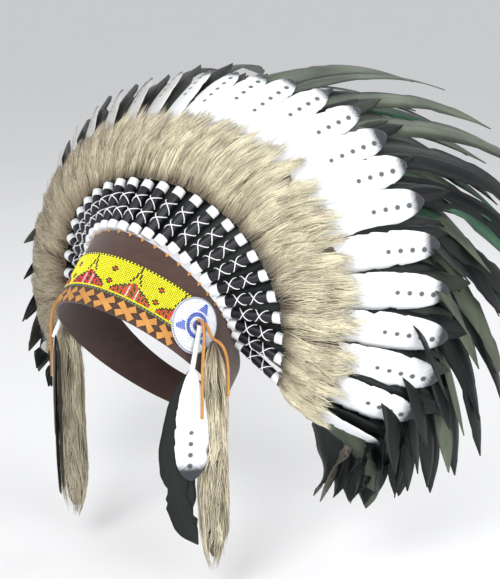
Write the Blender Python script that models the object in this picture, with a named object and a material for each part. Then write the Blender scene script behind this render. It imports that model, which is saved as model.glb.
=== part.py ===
"""Feathered headdress with a beaded brow band, a fur ruff and hanging drops.

Metres, +Z up.  The wearer faces -Y and +X is the wearer's left.  The origin is the
centre of the headband's lower edge, where the band sits on a head.
"""
import math

import bmesh
import bpy
import numpy as np
from mathutils import Matrix, Vector

# Clearance between pieces that touch on the real object
GAP = 0.0003

# Suede headband, an oval ring worn tilted up at the brow
HEAD_WIDTH = 0.148
HEAD_LENGTH = 0.207
BAND_WALL = 0.002
BAND_TILT = 43.0
BROW_HEIGHT = 0.0766
NAPE_HEIGHT = 0.0322
BAND_SIDES = 64

# Beaded strip, stitched round the front above a laced edge
LACED_EDGE = 0.0163
BEADWORK_HEIGHT = 0.0347
BEADWORK_THICKNESS = 0.0018
BEADWORK_END = 1.5

# Crossed leather lacing along the band's bare lower edge
LACE_WIDTH = 0.004
LACE_THICKNESS = 0.0012
LACE_PITCH = 0.0205
LACE_MARGIN = 0.0012

# Beaded rosettes over the ends of the strip
ROSETTE_DIAMETER = 0.050
ROSETTE_THICKNESS = 0.0036
ROSETTE_ARC = 0.103
ROSETTE_CLEARANCE = 0.0022
ROSETTE_SIDES = 20

# Wrapped quills that stand side by side on the band's top edge
QUILL_LENGTH = 0.055
WRAP_DIAMETER = 0.0095
TAPE_DIAMETER = 0.0106
TAPE_LENGTH = 0.008
QUILL_SPACING = 0.002
QUILL_SIDES = 8
PLUME_REACH = 0.1638
TAB_WIDTH = 0.005
TAB_HEIGHT = 0.0035
TAB_THICKNESS = 0.001

# White feathers and the long tail feathers behind them
WHITE_WIDTH = 0.030
WHITE_LENGTH = 0.160
COQUE_WIDTH = 0.024
COQUE_LENGTH = 0.345
VANE_THICKNESS = 0.0012
VANE_LAYER = 0.0012
TIP_THINNING = 0.4
LOUVRE = 8.0
CREST_STEP = 0.0026

# Fur ruff over the feet of the feathers
FUR_LENGTH = 0.080
FUR_THICKNESS = 0.013
FUR_OVERLAP = 0.006

# Hanging drops at the rosettes
DROP_QUILL_LENGTH = 0.037
DROP_QUILL_DIAMETER = 0.0045
DROP_WHITE_LENGTH = 0.104
DROP_WHITE_WIDTH = 0.031
DROP_DARK_LENGTH = 0.168
DROP_DARK_WIDTH = 0.026
DROP_FACING = 51.0
DROP_FORWARD = 0.0185
DROP_LAYER = 0.0028
TAIL_LENGTH = 0.203
TAIL_DIAMETER = 0.023
TAIL_DROP = 0.014
THONG_DIAMETER = 0.0028

# How the plumes spread, from the brow (share 0) to the last one at the side
# (share 1).  Leans, turn, pull and droop are degrees, and white, coque and fur are
# shares of WHITE_LENGTH, COQUE_LENGTH and FUR_LENGTH.
FAN_COLUMNS = ("share", "side_lean", "back_lean", "turn", "pull", "white", "coque", "droop", "fur")
FAN = (
    (0.00, 0, 3, 22, -56, 1.00, 1.00, 34, 1.00),
    (0.16, 12, 1, 22, -56, 1.00, 1.00, 42, 1.00),
    (0.33, 29, 0, 22, -50, 1.00, 0.97, 55, 1.00),
    (0.54, 50, 0, 28, -35, 0.95, 0.93, 68, 0.97),
    (0.75, 77, 8, 38, -20, 0.92, 0.83, 80, 0.90),
    (0.91, 99, 15, 45, -10, 0.82, 0.67, 72, 0.78),
    (1.00, 113, 19, 45, -7, 0.66, 0.54, 56, 0.68),
)
# Where the tips of the long feathers sink to, as a direction in the world
SINK = (0.0, 0.35, -0.94)
DROOP_POWER = 2.2
DROOP_LIMIT = 0.9
TURN_LIMIT = 1.15

# Outline of a white feather: share of its length, share of its half width
WHITE_OUTLINE = (
    (0.00, 0.14),
    (0.16, 0.50),
    (0.34, 0.80),
    (0.58, 1.00),
    (0.82, 0.90),
    (0.94, 0.55),
    (1.00, 0.05),
)
# Outline of the long feathers that stand behind each white one
COQUE_OUTLINE = (
    (0.00, 0.14),
    (0.32, 0.66),
    (0.58, 1.00),
    (0.78, 0.88),
    (0.92, 0.52),
    (1.00, 0.05),
)
# Outline of a hanging dark feather, with its bow to the front as a share of its length
DARK_OUTLINE = (
    (0.00, 0.12, 0.00),
    (0.20, 0.70, 0.07),
    (0.45, 1.00, 0.10),
    (0.70, 0.85, 0.08),
    (0.88, 0.50, 0.03),
    (1.00, 0.05, -0.04),
)
# Share of that bow in each of the two dark feathers, front one first
DARK_BOWS = (1.0, 0.6)
# Share of a hanging feather's length over which it leaves its quill
DROP_ROOT = 0.125
# Thickness of the ruff from its root to its tips
FUR_PROFILE = (
    (0.00, 0.30),
    (0.22, 0.85),
    (0.50, 1.00),
    (0.78, 0.62),
    (1.00, 0.06),
)
# Share of the full length and thickness at a tuft and at the parting beside it
TUFT = (1.00, 1.00)
PARTING = (0.80, 0.62)
# Girth of a hanging tail from its knot to its tip, and of the grooves down it
TAIL_SIDES = 12
TAIL_GROOVE = 0.88
TAIL_NECK = 0.60
TAIL_PROFILE = (
    (0.00, 0.22),
    (0.02, 0.55),
    (0.06, TAIL_NECK),
    (0.16, 0.95),
    (0.45, 1.00),
    (0.70, 0.94),
    (0.88, 0.60),
    (1.00, 0.08),
)

# Routes of the two thongs at the wearer's left rosette, points chosen by hand: out
# of the rosette's middle, over, and down past the white feather or round the tail
THONGS = {
    "front": (
        (0.0759, -0.0091, 0.0554),
        (0.0788, -0.0097, 0.0560),
        (0.0830, -0.0120, 0.0545),
        (0.0875, -0.0158, 0.0490),
        (0.0905, -0.0196, 0.0400),
        (0.0916, -0.0222, 0.0290),
        (0.0918, -0.0234, 0.0170),
        (0.0918, -0.0236, 0.0040),
        (0.0918, -0.0236, -0.0110),
        (0.0918, -0.0236, -0.0280),
    ),
    "rear": (
        (0.0778, -0.0053, 0.0520),
        (0.0807, -0.0059, 0.0526),
        (0.0838, -0.0060, 0.0494),
        (0.0862, -0.0054, 0.0438),
        (0.0889, -0.0037, 0.0391),
        (0.0925, -0.0008, 0.0364),
        (0.0957, 0.0017, 0.0310),
        (0.0978, 0.0034, 0.0225),
        (0.0988, 0.0043, 0.0120),
        (0.0990, 0.0045, 0.0000),
        (0.0990, 0.0045, -0.0130),
    ),
}
THONG_SPACING = 3.0
ROUTE_STEPS = 12

# Faces that meet at less than this angle are shaded as one surface
SMOOTH_ANGLE = 40.0

tilt = Matrix.Rotation(math.radians(-BAND_TILT), 3, "X")
half_x = HEAD_WIDTH / 2 + BAND_WALL
half_y = HEAD_LENGTH / 2 + BAND_WALL
quill_radius = TAPE_DIAMETER / 2
plume_pitch = TAPE_DIAMETER + QUILL_SPACING
plumes_a_side = round(PLUME_REACH / plume_pitch)

for leftover in list(bpy.data.objects):
    bpy.data.objects.remove(leftover)


def make_material(name, colour, roughness):
    material = bpy.data.materials.new(name)
    material.use_nodes = True
    shader = material.node_tree.nodes["Principled BSDF"]
    shader.inputs["Base Color"].default_value = (*colour, 1)
    shader.inputs["Roughness"].default_value = roughness
    shader.inputs["Metallic"].default_value = 0
    return material


suede = make_material("suede", (0.085, 0.055, 0.050), 0.9)
lace_leather = make_material("lace_leather", (0.48, 0.24, 0.09), 0.7)
yellow_beads = make_material("yellow_beads", (0.90, 0.80, 0.05), 0.3)
white_beads = make_material("white_beads", (0.85, 0.87, 0.90), 0.3)
white_tape = make_material("white_tape", (0.80, 0.80, 0.80), 0.6)
black_wrap = make_material("black_wrap", (0.015, 0.015, 0.018), 0.35)
white_feather = make_material("white_feather", (0.88, 0.88, 0.88), 0.7)
dark_feather = make_material("dark_feather", (0.035, 0.050, 0.040), 0.4)
fur = make_material("fur", (0.42, 0.36, 0.27), 0.95)

# Every piece on the band is modelled level and turned with the head by this empty
head = bpy.data.objects.new("head", None)
head.rotation_euler.x = math.radians(-BAND_TILT)
bpy.context.collection.objects.link(head)


def ring_table():
    """Arc length along the band's outer oval, from the brow, against the angle."""
    angles = np.radians(np.linspace(-180, 180, 2881))
    steps = np.hypot(half_x * np.cos(angles), half_y * np.sin(angles)) * (angles[1] - angles[0])
    arcs = np.cumsum(steps)
    return angles, arcs - np.interp(0, angles, arcs)


ring_angles, ring_arcs = ring_table()


def ring_angle(arc):
    return float(np.interp(arc, ring_arcs, ring_angles))


def band_top(angle):
    middle = (BROW_HEIGHT + NAPE_HEIGHT) / 2
    return middle + (BROW_HEIGHT - NAPE_HEIGHT) / 2 * math.cos(angle)


def band_slope(angle):
    """Rise of the band's top edge for each metre along it."""
    speed = math.hypot(half_x * math.cos(angle), half_y * math.sin(angle))
    return -(BROW_HEIGHT - NAPE_HEIGHT) / 2 * math.sin(angle) / speed


def oval_point(angle, up, out):
    """Point off the band's outer face, level with the head."""
    foot = Vector((half_x * math.sin(angle), -half_y * math.cos(angle), up))
    outward = Vector((half_y * math.sin(angle), -half_x * math.cos(angle), 0)).normalized()
    return foot + outward * out


def wall_point(arc, up, out):
    return oval_point(ring_angle(arc), up, out)


def make_solid(name, points, faces, material, place=(0, 0, 0), parent=None):
    mesh = bpy.data.meshes.new(name)
    mesh.from_pydata([Vector(point) - Vector(place) for point in points], [], faces)
    mesh.materials.append(material)
    shell = bmesh.new()
    shell.from_mesh(mesh)
    if shell.calc_volume(signed=True) < 0:
        bmesh.ops.reverse_faces(shell, faces=shell.faces)
    shell.to_mesh(mesh)
    shell.free()
    mesh.shade_smooth()
    mesh.set_sharp_from_angle(angle=math.radians(SMOOTH_ANGLE))
    solid = bpy.data.objects.new(name, mesh)
    solid.location = place
    solid.parent = parent
    bpy.context.collection.objects.link(solid)
    return solid


def loft(rings, closed=False):
    """Points and faces through rings of equal count, with end caps unless closed."""
    count = len(rings[0])
    points = [point for ring in rings for point in ring]
    faces = []
    last = len(rings) if closed else len(rings) - 1
    for row in range(last):
        here = row * count
        there = (row + 1) % len(rings) * count
        for i in range(count):
            j = (i + 1) % count
            faces.append((here + i, here + j, there + j, there + i))
    if not closed:
        faces.append(tuple(reversed(range(count))))
        faces.append(tuple(range(len(points) - count, len(points))))
    return points, faces


def mirror_copy(solid, name):
    """The same piece on the wearer's other side."""
    mesh = solid.data.copy()
    mesh.name = name
    mesh.transform(Matrix.Scale(-1, 4, (1, 0, 0)))
    mesh.flip_normals()
    twin = bpy.data.objects.new(name, mesh)
    twin.location = (-solid.location.x, solid.location.y, solid.location.z)
    twin.rotation_euler = solid.rotation_euler
    twin.parent = solid.parent
    bpy.context.collection.objects.link(twin)
    return twin


def fuse(base, extras):
    """Union the extra solids into the base and drop them."""
    for extra in extras:
        union = base.modifiers.new("union", "BOOLEAN")
        union.operation = "UNION"
        union.solver = "EXACT"
        union.material_mode = "TRANSFER"
        union.object = extra
    bpy.context.view_layer.update()
    graph = bpy.context.evaluated_depsgraph_get()
    mesh = bpy.data.meshes.new_from_object(base.evaluated_get(graph))
    base.modifiers.clear()
    base.data = mesh
    mesh.name = base.name
    for extra in extras:
        bpy.data.objects.remove(extra)
    return base


# Headband
def make_headband():
    rings = []
    for i in range(BAND_SIDES):
        angle = 2 * math.pi * i / BAND_SIDES
        top = band_top(angle)
        rings.append([
            oval_point(angle, 0, -BAND_WALL),
            oval_point(angle, top, -BAND_WALL),
            oval_point(angle, top, 0),
            oval_point(angle, 0, 0),
        ])
    points, faces = loft(rings, closed=True)
    return make_solid("headband", points, faces, suede, parent=head)


# Beaded strip, ending under the middle of each rosette
def make_beadwork():
    end = ring_angle(ROSETTE_ARC) - math.radians(BEADWORK_END)
    count = round(BAND_SIDES * end / math.pi)
    rings = []
    for i in range(count + 1):
        angle = -end + 2 * end * i / count
        rings.append([
            oval_point(angle, LACED_EDGE, GAP),
            oval_point(angle, LACED_EDGE + BEADWORK_HEIGHT, GAP),
            oval_point(angle, LACED_EDGE + BEADWORK_HEIGHT, GAP + BEADWORK_THICKNESS),
            oval_point(angle, LACED_EDGE, GAP + BEADWORK_THICKNESS),
        ])
    points, faces = loft(rings)
    return make_solid("brow_beadwork", points, faces, yellow_beads, parent=head)


# Lacing: a row of crosses whose feet meet, cut from one flat lattice and wrapped on
def make_lacing():
    crosses = int(ROSETTE_ARC / LACE_PITCH - 0.5)
    low = LACE_MARGIN
    high = LACED_EDGE - LACE_MARGIN
    middle = (low + high) / 2
    half = LACE_PITCH / 2
    leg = math.hypot(half, middle - low)
    wide = LACE_WIDTH / 2 * leg / (middle - low)
    tall = LACE_WIDTH / 2 * leg / half
    outline = {}
    flat = []
    cells = []

    def spot(arc, up):
        key = (round(arc, 7), round(up, 7))
        if key not in outline:
            outline[key] = len(flat)
            flat.append((arc, up))
        return outline[key]

    def leg_cells(inner_a, inner_b, outer_b, outer_a):
        between_a = tuple((inner_a[i] + outer_a[i]) / 2 for i in (0, 1))
        between_b = tuple((inner_b[i] + outer_b[i]) / 2 for i in (0, 1))
        cells.append([spot(*inner_a), spot(*inner_b), spot(*between_b), spot(*between_a)])
        cells.append([spot(*between_a), spot(*between_b), spot(*outer_b), spot(*outer_a)])

    for step in range(-crosses, crosses + 1):
        centre = step * LACE_PITCH
        west = (centre - wide, middle)
        east = (centre + wide, middle)
        south = (centre, middle - tall)
        north = (centre, middle + tall)
        cells.append([spot(*south), spot(*east), spot(*north), spot(*west)])
        for side in (-1, 1):
            hub = east if side > 0 else west
            corner = centre + side * half
            foot = (corner - side * wide, low)
            head_end = (corner - side * wide, high)
            leg_cells(south, hub, (corner, low + tall), foot)
            leg_cells(hub, north, head_end, (corner, high - tall))
    for step in range(-crosses, crosses + 2):
        corner = (step - 0.5) * LACE_PITCH
        for edge, apex in ((low, low + tall), (high, high - tall)):
            corners = []
            if step > -crosses:
                corners.append(spot(corner - wide, edge))
            else:
                corners.append(spot(corner, edge))
            if step < crosses + 1:
                corners.append(spot(corner + wide, edge))
            else:
                corners.append(spot(corner, edge))
            cells.append(corners + [spot(corner, apex)])
    count = len(flat)
    points = [wall_point(arc, up, GAP) for arc, up in flat]
    points += [wall_point(arc, up, GAP + LACE_THICKNESS) for arc, up in flat]
    cells = [counter_clockwise(flat, cell) for cell in cells]
    faces = [tuple(count + i for i in cell) for cell in cells]
    faces += [tuple(reversed(cell)) for cell in cells]
    edges = {(cell[i], cell[(i + 1) % len(cell)]) for cell in cells for i in range(len(cell))}
    for a, b in sorted(edges):
        if (b, a) not in edges:
            faces.append((a, b, count + b, count + a))
    return make_solid("edge_lacing", points, faces, lace_leather, parent=head)


def counter_clockwise(flat, cell):
    cell = list(dict.fromkeys(cell))
    area = 0.0
    for i, here in enumerate(cell):
        there = cell[(i + 1) % len(cell)]
        area += flat[here][0] * flat[there][1] - flat[there][0] * flat[here][1]
    return tuple(cell) if area > 0 else tuple(reversed(cell))


# Rosettes, thin domes that follow the band's curve
rosette_up = band_top(ring_angle(ROSETTE_ARC)) - ROSETTE_DIAMETER / 2 - quill_radius - ROSETTE_CLEARANCE
rosette_back = GAP + BEADWORK_THICKNESS + GAP


def rosette_point(arc, up, out):
    """Point at a place on the wearer's left rosette, measured from its centre."""
    return wall_point(ROSETTE_ARC + arc, rosette_up + up, rosette_back + out)


def rosette_ring(share, height):
    """Points round the left rosette, at shares of its radius and of its thickness."""
    radius = ROSETTE_DIAMETER / 2 * share
    turns = [2 * math.pi * i / ROSETTE_SIDES for i in range(ROSETTE_SIDES)]
    return [
        rosette_point(radius * math.cos(turn), radius * math.sin(turn), ROSETTE_THICKNESS * height)
        for turn in turns
    ]


def make_rosettes():
    rings = [
        rosette_ring(share, height)
        for share, height in ((0.5, 0), (1, 0), (1, 0.3), (0.85, 0.75), (0.5, 0.95))
    ]
    points, faces = loft(rings)
    centres = (rosette_point(0, 0, 0), rosette_point(0, 0, ROSETTE_THICKNESS))
    faces = faces[:-2]
    ends = ((centres[0], 0, -1), (centres[1], len(points) - ROSETTE_SIDES, 1))
    for centre, base, order in ends:
        points.append(centre)
        hub = len(points) - 1
        for i in range(ROSETTE_SIDES):
            faces.append((base + i, base + (i + 1) % ROSETTE_SIDES, hub)[::order])
    left = make_solid("rosette_left", points, faces, white_beads, parent=head)
    mirror_copy(left, "rosette_right")


# A feather is a flat vane along a bending line
def fan_row(share):
    """The fan's values at a share, on smooth curves through the table's rows."""
    table = np.array(FAN, dtype=float)
    shares = table[:, 0]
    share = min(max(share, 0.0), 1.0)
    low = min(int(np.searchsorted(shares, share, side="right")) - 1, len(shares) - 2)
    width = shares[low + 1] - shares[low]
    t = (share - shares[low]) / width
    row = {}
    for column, name in enumerate(FAN_COLUMNS):
        values = table[:, column]
        slopes = np.gradient(values, shares)
        row[name] = float(
            (2 * t**3 - 3 * t**2 + 1) * values[low]
            + (t**3 - 2 * t**2 + t) * width * slopes[low]
            + (3 * t**2 - 2 * t**3) * values[low + 1]
            + (t**3 - t**2) * width * slopes[low + 1]
        )
    return row


def turned(direction, towards, angle):
    axis = direction.cross(towards).normalized()
    return Matrix.Rotation(angle, 3, axis) @ direction


class Spine:
    """Line of one feather from its foot on the band, for a place counted in plumes."""

    STEPS = 40

    def __init__(self, place, kind="white"):
        row = fan_row(place / plumes_a_side)
        angle = ring_angle(place * plume_pitch)
        side_lean = math.radians(row["side_lean"])
        back_lean = math.radians(row["back_lean"])
        pull_pitch = math.radians(row["pull"])
        pull = tilt.transposed() @ Vector((0, math.cos(pull_pitch), math.sin(pull_pitch)))
        sink = (tilt.transposed() @ Vector(SINK)).normalized()
        self.angle = angle
        self.heading = Vector((
            math.sin(side_lean) * math.cos(back_lean),
            math.sin(back_lean),
            math.cos(side_lean) * math.cos(back_lean),
        ))
        across = pull.cross(self.heading).normalized()
        outward = Vector((half_y * math.sin(angle), -half_x * math.cos(angle), 0)).normalized()
        along = outward.cross(Vector((0, 0, 1)))
        slope = abs(band_slope(angle)) * max(0.0, self.heading.z)
        dip = math.hypot(self.heading.dot(along), min(0.0, self.heading.z))
        dip = dip / math.sqrt(1 - dip**2)
        self.outward = outward
        self.seat = GAP + BAND_WALL / 2 * abs(self.heading.dot(outward)) + quill_radius * (slope + dip)
        self.foot = oval_point(angle, band_top(angle), -BAND_WALL / 2)
        white = WHITE_LENGTH * row["white"]
        self.fur = FUR_LENGTH * row["fur"]
        self.length = white if kind == "white" else COQUE_LENGTH * row["coque"]
        point = self.foot + self.heading * (self.seat + QUILL_LENGTH)
        self.distances = [0.0, self.seat + QUILL_LENGTH]
        self.points = [self.foot, point]
        self.headings = [self.heading, self.heading]
        step = self.length / self.STEPS
        for i in range(self.STEPS):
            gone = (i + 0.5) * step
            turn = math.radians(row["turn"]) * min(gone / white, TURN_LIMIT)
            way = turned(self.heading, pull, turn)
            if kind != "white":
                sag = math.radians(row["droop"]) * (gone / self.length) ** DROOP_POWER
                way = turned(way, sink, min(sag, way.angle(sink) * DROOP_LIMIT))
            point = point + way * step
            self.points.append(point)
            self.headings.append(way)
            self.distances.append(self.distances[-1] + step)
        self.across = across

    def at(self, distance):
        """Point, heading, across and front at a distance from the foot."""
        spots = np.array(self.points)
        ways = np.array(self.headings)
        point = Vector([np.interp(distance, self.distances, spots[:, i]) for i in range(3)])
        way = Vector([np.interp(distance, self.distances, ways[:, i]) for i in range(3)])
        way.normalize()
        if distance > self.distances[-1]:
            point = point + way * (distance - self.distances[-1])
        across = (self.across - way * self.across.dot(way)).normalized()
        return point, way, across, across.cross(way)

    @property
    def tip(self):
        return self.distances[-1]


def vane_rings(spine, outline, half_width, start, louvre, layer):
    rings = []
    for share, width in outline:
        distance = start + (spine.tip - start) * share
        point, way, across, face = spine.at(distance)
        edge = across * math.cos(louvre) + face * math.sin(louvre)
        normal = face * math.cos(louvre) - across * math.sin(louvre)
        thick = VANE_THICKNESS / 2 * (1 - TIP_THINNING * share)
        middle = point + face * layer
        rings.append([
            middle - edge * half_width * width,
            middle + normal * thick,
            middle + edge * half_width * width,
            middle - normal * thick,
        ])
    return rings


def tab_rings(spine, arc):
    """Leather tab from inside a quill's foot, down the band's outer face."""
    up = Vector((0, 0, 1))
    thick = (spine.outward * spine.heading.z - up * spine.heading.dot(spine.outward)).normalized()
    point, way, across, face = spine.at(spine.seat + TAPE_LENGTH / 2)
    root = point + thick * quill_radius / 2
    shoulder = min(spine.foot.z, root.z) - quill_radius / 3
    sides = ((-1, 0), (1, 0), (1, 1), (-1, 1))
    rings = [[
        root + across * TAB_WIDTH / 2 * side + thick * TAB_THICKNESS * (layer - 0.5)
        for side, layer in sides
    ]]
    for height in (shoulder, shoulder - TAB_HEIGHT):
        rings.append([
            wall_point(arc + TAB_WIDTH / 2 * side, height, GAP + TAB_THICKNESS * layer)
            for side, layer in sides
        ])
    return rings


def make_plume(place, name):
    louvre = math.radians(LOUVRE) if place else 0.0
    lift = 0.0 if place else CREST_STEP
    white_spine = Spine(place)
    coque_spine = Spine(place, "coque")
    seat = white_spine.seat
    rings = []
    for distance, radius in (
        (0, quill_radius),
        (TAPE_LENGTH, quill_radius),
        (TAPE_LENGTH, WRAP_DIAMETER / 2),
        (QUILL_LENGTH - TAPE_LENGTH, WRAP_DIAMETER / 2),
        (QUILL_LENGTH - TAPE_LENGTH, quill_radius),
        (QUILL_LENGTH, quill_radius),
    ):
        point, way, across, face = white_spine.at(seat + distance)
        ring = []
        for i in range(QUILL_SIDES):
            turn = 2 * math.pi * (i + 0.5) / QUILL_SIDES
            ring.append(point + (across * math.cos(turn) - face * math.sin(turn)) * radius)
        rings.append(ring)

    def piece(label, rings, material):
        return make_solid(label, *loft(rings), material, place=white_spine.foot, parent=head)

    quill = piece(name, rings, black_wrap)
    quill.data.materials.append(white_tape)
    for i, face in enumerate(quill.data.polygons):
        if i // QUILL_SIDES in (0, len(rings) - 2, len(rings) - 1):
            face.material_index = 1
    start = seat + QUILL_LENGTH - TAPE_LENGTH / 2
    white = vane_rings(
        white_spine, WHITE_OUTLINE, WHITE_WIDTH / 2, start, louvre, VANE_LAYER + lift)
    coque = vane_rings(coque_spine, COQUE_OUTLINE, COQUE_WIDTH / 2, start, louvre, -VANE_LAYER)
    tab = tab_rings(white_spine, place * plume_pitch)
    return fuse(quill, [
        piece("white", white, white_feather),
        piece("coque", coque, dark_feather),
        piece("tab", tab, lace_leather),
    ])


def make_plumes():
    """Numbered from the wearer's right round the brow to the left."""
    middle = plumes_a_side + 1
    for place in range(plumes_a_side + 1):
        plume = make_plume(place, f"plume_{middle + place:02d}")
        if place:
            mirror_copy(plume, f"plume_{middle - place:02d}")


def fur_rings():
    """Closed sections through the ruff, one at each tuft and one at each parting."""
    rings = []
    reach = 2 * plumes_a_side + 1
    for column in range(-reach, reach + 1):
        place = abs(column) / 2
        side = -1 if column < 0 else 1
        spine = Spine(place)
        beside = Spine(place + 0.5)
        span, depth = PARTING if column % 2 else TUFT
        root = spine.seat + QUILL_LENGTH - FUR_OVERLAP
        back = []
        cover = []
        for share, thick in FUR_PROFILE:
            distance = root + spine.fur * span * share
            point, way, across, face = spine.at(distance)
            next_point = beside.at(distance)[0]
            step = next_point - point
            slope = abs(step.dot(face)) / abs(step.dot(across))
            vane = (distance - spine.seat - QUILL_LENGTH) / spine.length
            half = WHITE_WIDTH / 2 * float(np.interp(
                vane, [row[0] for row in WHITE_OUTLINE], [row[1] for row in WHITE_OUTLINE]))
            over_vane = half * (slope + math.tan(math.radians(LOUVRE))) + VANE_LAYER + VANE_THICKNESS
            over_quill = quill_radius * math.hypot(1, slope)
            crest = CREST_STEP * max(0.0, 1 - place)
            clear = 2 * GAP + max(over_vane + crest, over_quill)
            back.append(point + face * clear)
            cover.append(point + face * (clear + FUR_THICKNESS * depth * thick))
        ring = back + cover[::-1]
        if side < 0:
            ring = [Vector((-point.x, point.y, point.z)) for point in ring]
        rings.append(ring)
    return rings


def make_ruff():
    points, faces = loft(fur_rings())
    return make_solid("fur_ruff", points, faces, fur, parent=head)


# Drops that hang plumb at each rosette, whatever the band's tilt
hook = tilt @ rosette_point(0, 0, ROSETTE_THICKNESS)
hook_normal = tilt @ (rosette_point(0, 0, 1) - rosette_point(0, 0, 0)).normalized()
facing = math.radians(DROP_FACING)
drop_across = Vector((math.cos(facing), math.sin(facing), 0))
drop_face = Vector((math.sin(facing), -math.cos(facing), 0))
rosette_rim = max((tilt @ point).x for point in rosette_ring(1, 1))
knee = Vector((
    rosette_rim + DROP_QUILL_DIAMETER / 2 + GAP,
    hook.y - DROP_FORWARD,
    hook.z - DROP_QUILL_LENGTH,
))


drop_start = hook + hook_normal * (GAP + DROP_QUILL_DIAMETER / 2)
drop_way = (knee - drop_start).normalized()


def hanging_rings(outline, half_width, length, behind, bow):
    """Sections of a feather that leaves the quill just above the knee and hangs plumb."""
    rings = []
    root = -drop_way * DROP_QUILL_DIAMETER
    for row in outline:
        share, width = row[:2]
        thick = VANE_THICKNESS / 2 * (1 - TIP_THINNING * share)
        sway = row[2] * bow if len(row) > 2 else 0.0
        gone = min(1.0, share / DROP_ROOT)
        centre = knee + root.lerp(Vector((0, 0, root.z)), gone) - Vector((0, 0, length * share))
        centre -= drop_across * length * sway + drop_face * behind * gone
        rings.append([
            centre - drop_across * half_width * width,
            centre + drop_face * thick,
            centre + drop_across * half_width * width,
            centre - drop_face * thick,
        ])
    return rings


def make_drop_feathers():
    """One white feather before two dark ones, tied in one short quill."""
    across = drop_way.cross(drop_face).normalized()
    face = across.cross(drop_way)
    rings = []
    for end in (drop_start, knee):
        rings.append([
            end + (across * math.cos(math.radians(60 * i)) + face * math.sin(math.radians(60 * i)))
            * DROP_QUILL_DIAMETER / 2
            for i in range(6)
        ])
    feathers = make_solid("drop_feathers_left", *loft(rings), black_wrap, place=hook)
    white = hanging_rings(WHITE_OUTLINE, DROP_WHITE_WIDTH / 2, DROP_WHITE_LENGTH, 0.0, 0.0)
    extras = [make_solid("white", *loft(white), white_feather, place=hook)]
    for layer, bow in enumerate(DARK_BOWS, start=1):
        dark = hanging_rings(
            DARK_OUTLINE, DROP_DARK_WIDTH / 2, DROP_DARK_LENGTH, DROP_LAYER * layer, bow)
        extras.append(make_solid("dark", *loft(dark), dark_feather, place=hook))
    fuse(feathers, extras)
    mirror_copy(feathers, "drop_feathers_right")


def make_tails():
    radius = TAIL_DIAMETER / 2
    top = Vector((
        rosette_rim + radius * TAIL_NECK + GAP,
        knee.y + drop_across.y * DROP_WHITE_WIDTH / 2 + radius + 2 * GAP,
        hook.z - TAIL_DROP,
    ))
    rings = []
    for share, girth in TAIL_PROFILE:
        ring = []
        for i in range(TAIL_SIDES):
            turn = 2 * math.pi * i / TAIL_SIDES
            lock = 1.0 if i % 2 else TAIL_GROOVE
            ring.append(top + Vector((
                radius * girth * lock * math.cos(turn),
                radius * girth * lock * math.sin(turn),
                -TAIL_LENGTH * share,
            )))
        rings.append(ring)
    left = make_solid("fur_tail_left", *loft(rings), fur, place=top)
    mirror_copy(left, "fur_tail_right")


def smooth_route(route, spacing):
    """Evenly spaced points on a smooth curve through a route's own points."""
    knots = [2 * Vector(route[0]) - Vector(route[1])]
    knots += [Vector(point) for point in route]
    knots.append(2 * Vector(route[-1]) - Vector(route[-2]))
    dense = []
    for a, b, c, d in zip(knots, knots[1:], knots[2:], knots[3:]):
        for i in range(ROUTE_STEPS):
            t = i / ROUTE_STEPS
            dense.append(
                b + (c - a) * t / 2
                + (2 * a - 5 * b + 4 * c - d) * t**2 / 2
                + (3 * b - a - 3 * c + d) * t**3 / 2
            )
    dense.append(knots[-2])
    lengths = np.cumsum([0.0] + [(q - p).length for p, q in zip(dense, dense[1:])])
    count = round(lengths[-1] / spacing)
    table = np.array(dense)
    spots = np.linspace(0, lengths[-1], count + 1)
    return [Vector([np.interp(spot, lengths, table[:, i]) for i in range(3)]) for spot in spots]


def make_thongs():
    for place, route in THONGS.items():
        points = smooth_route(route, THONG_DIAMETER * THONG_SPACING)
        for side, hand in ((1, "left"), (-1, "right")):
            curve = bpy.data.curves.new(f"thong_{hand}_{place}", "CURVE")
            curve.dimensions = "3D"
            curve.bevel_depth = THONG_DIAMETER / 2
            curve.bevel_resolution = 2
            curve.use_fill_caps = True
            spline = curve.splines.new("POLY")
            spline.points.add(len(points) - 1)
            for spot, point in zip(spline.points, points):
                spot.co = (side * point.x, point.y, point.z, 1)
            curve.materials.append(lace_leather)
            thong = bpy.data.objects.new(curve.name, curve)
            bpy.context.collection.objects.link(thong)


def build():
    make_headband()
    make_beadwork()
    make_lacing()
    make_rosettes()
    make_plumes()
    make_ruff()
    make_drop_feathers()
    make_tails()
    make_thongs()


if __name__ == "__main__":
    build()
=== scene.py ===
import contextlib
import math
import random

import bpy
import numpy as np
from mathutils import Matrix, Vector


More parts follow.
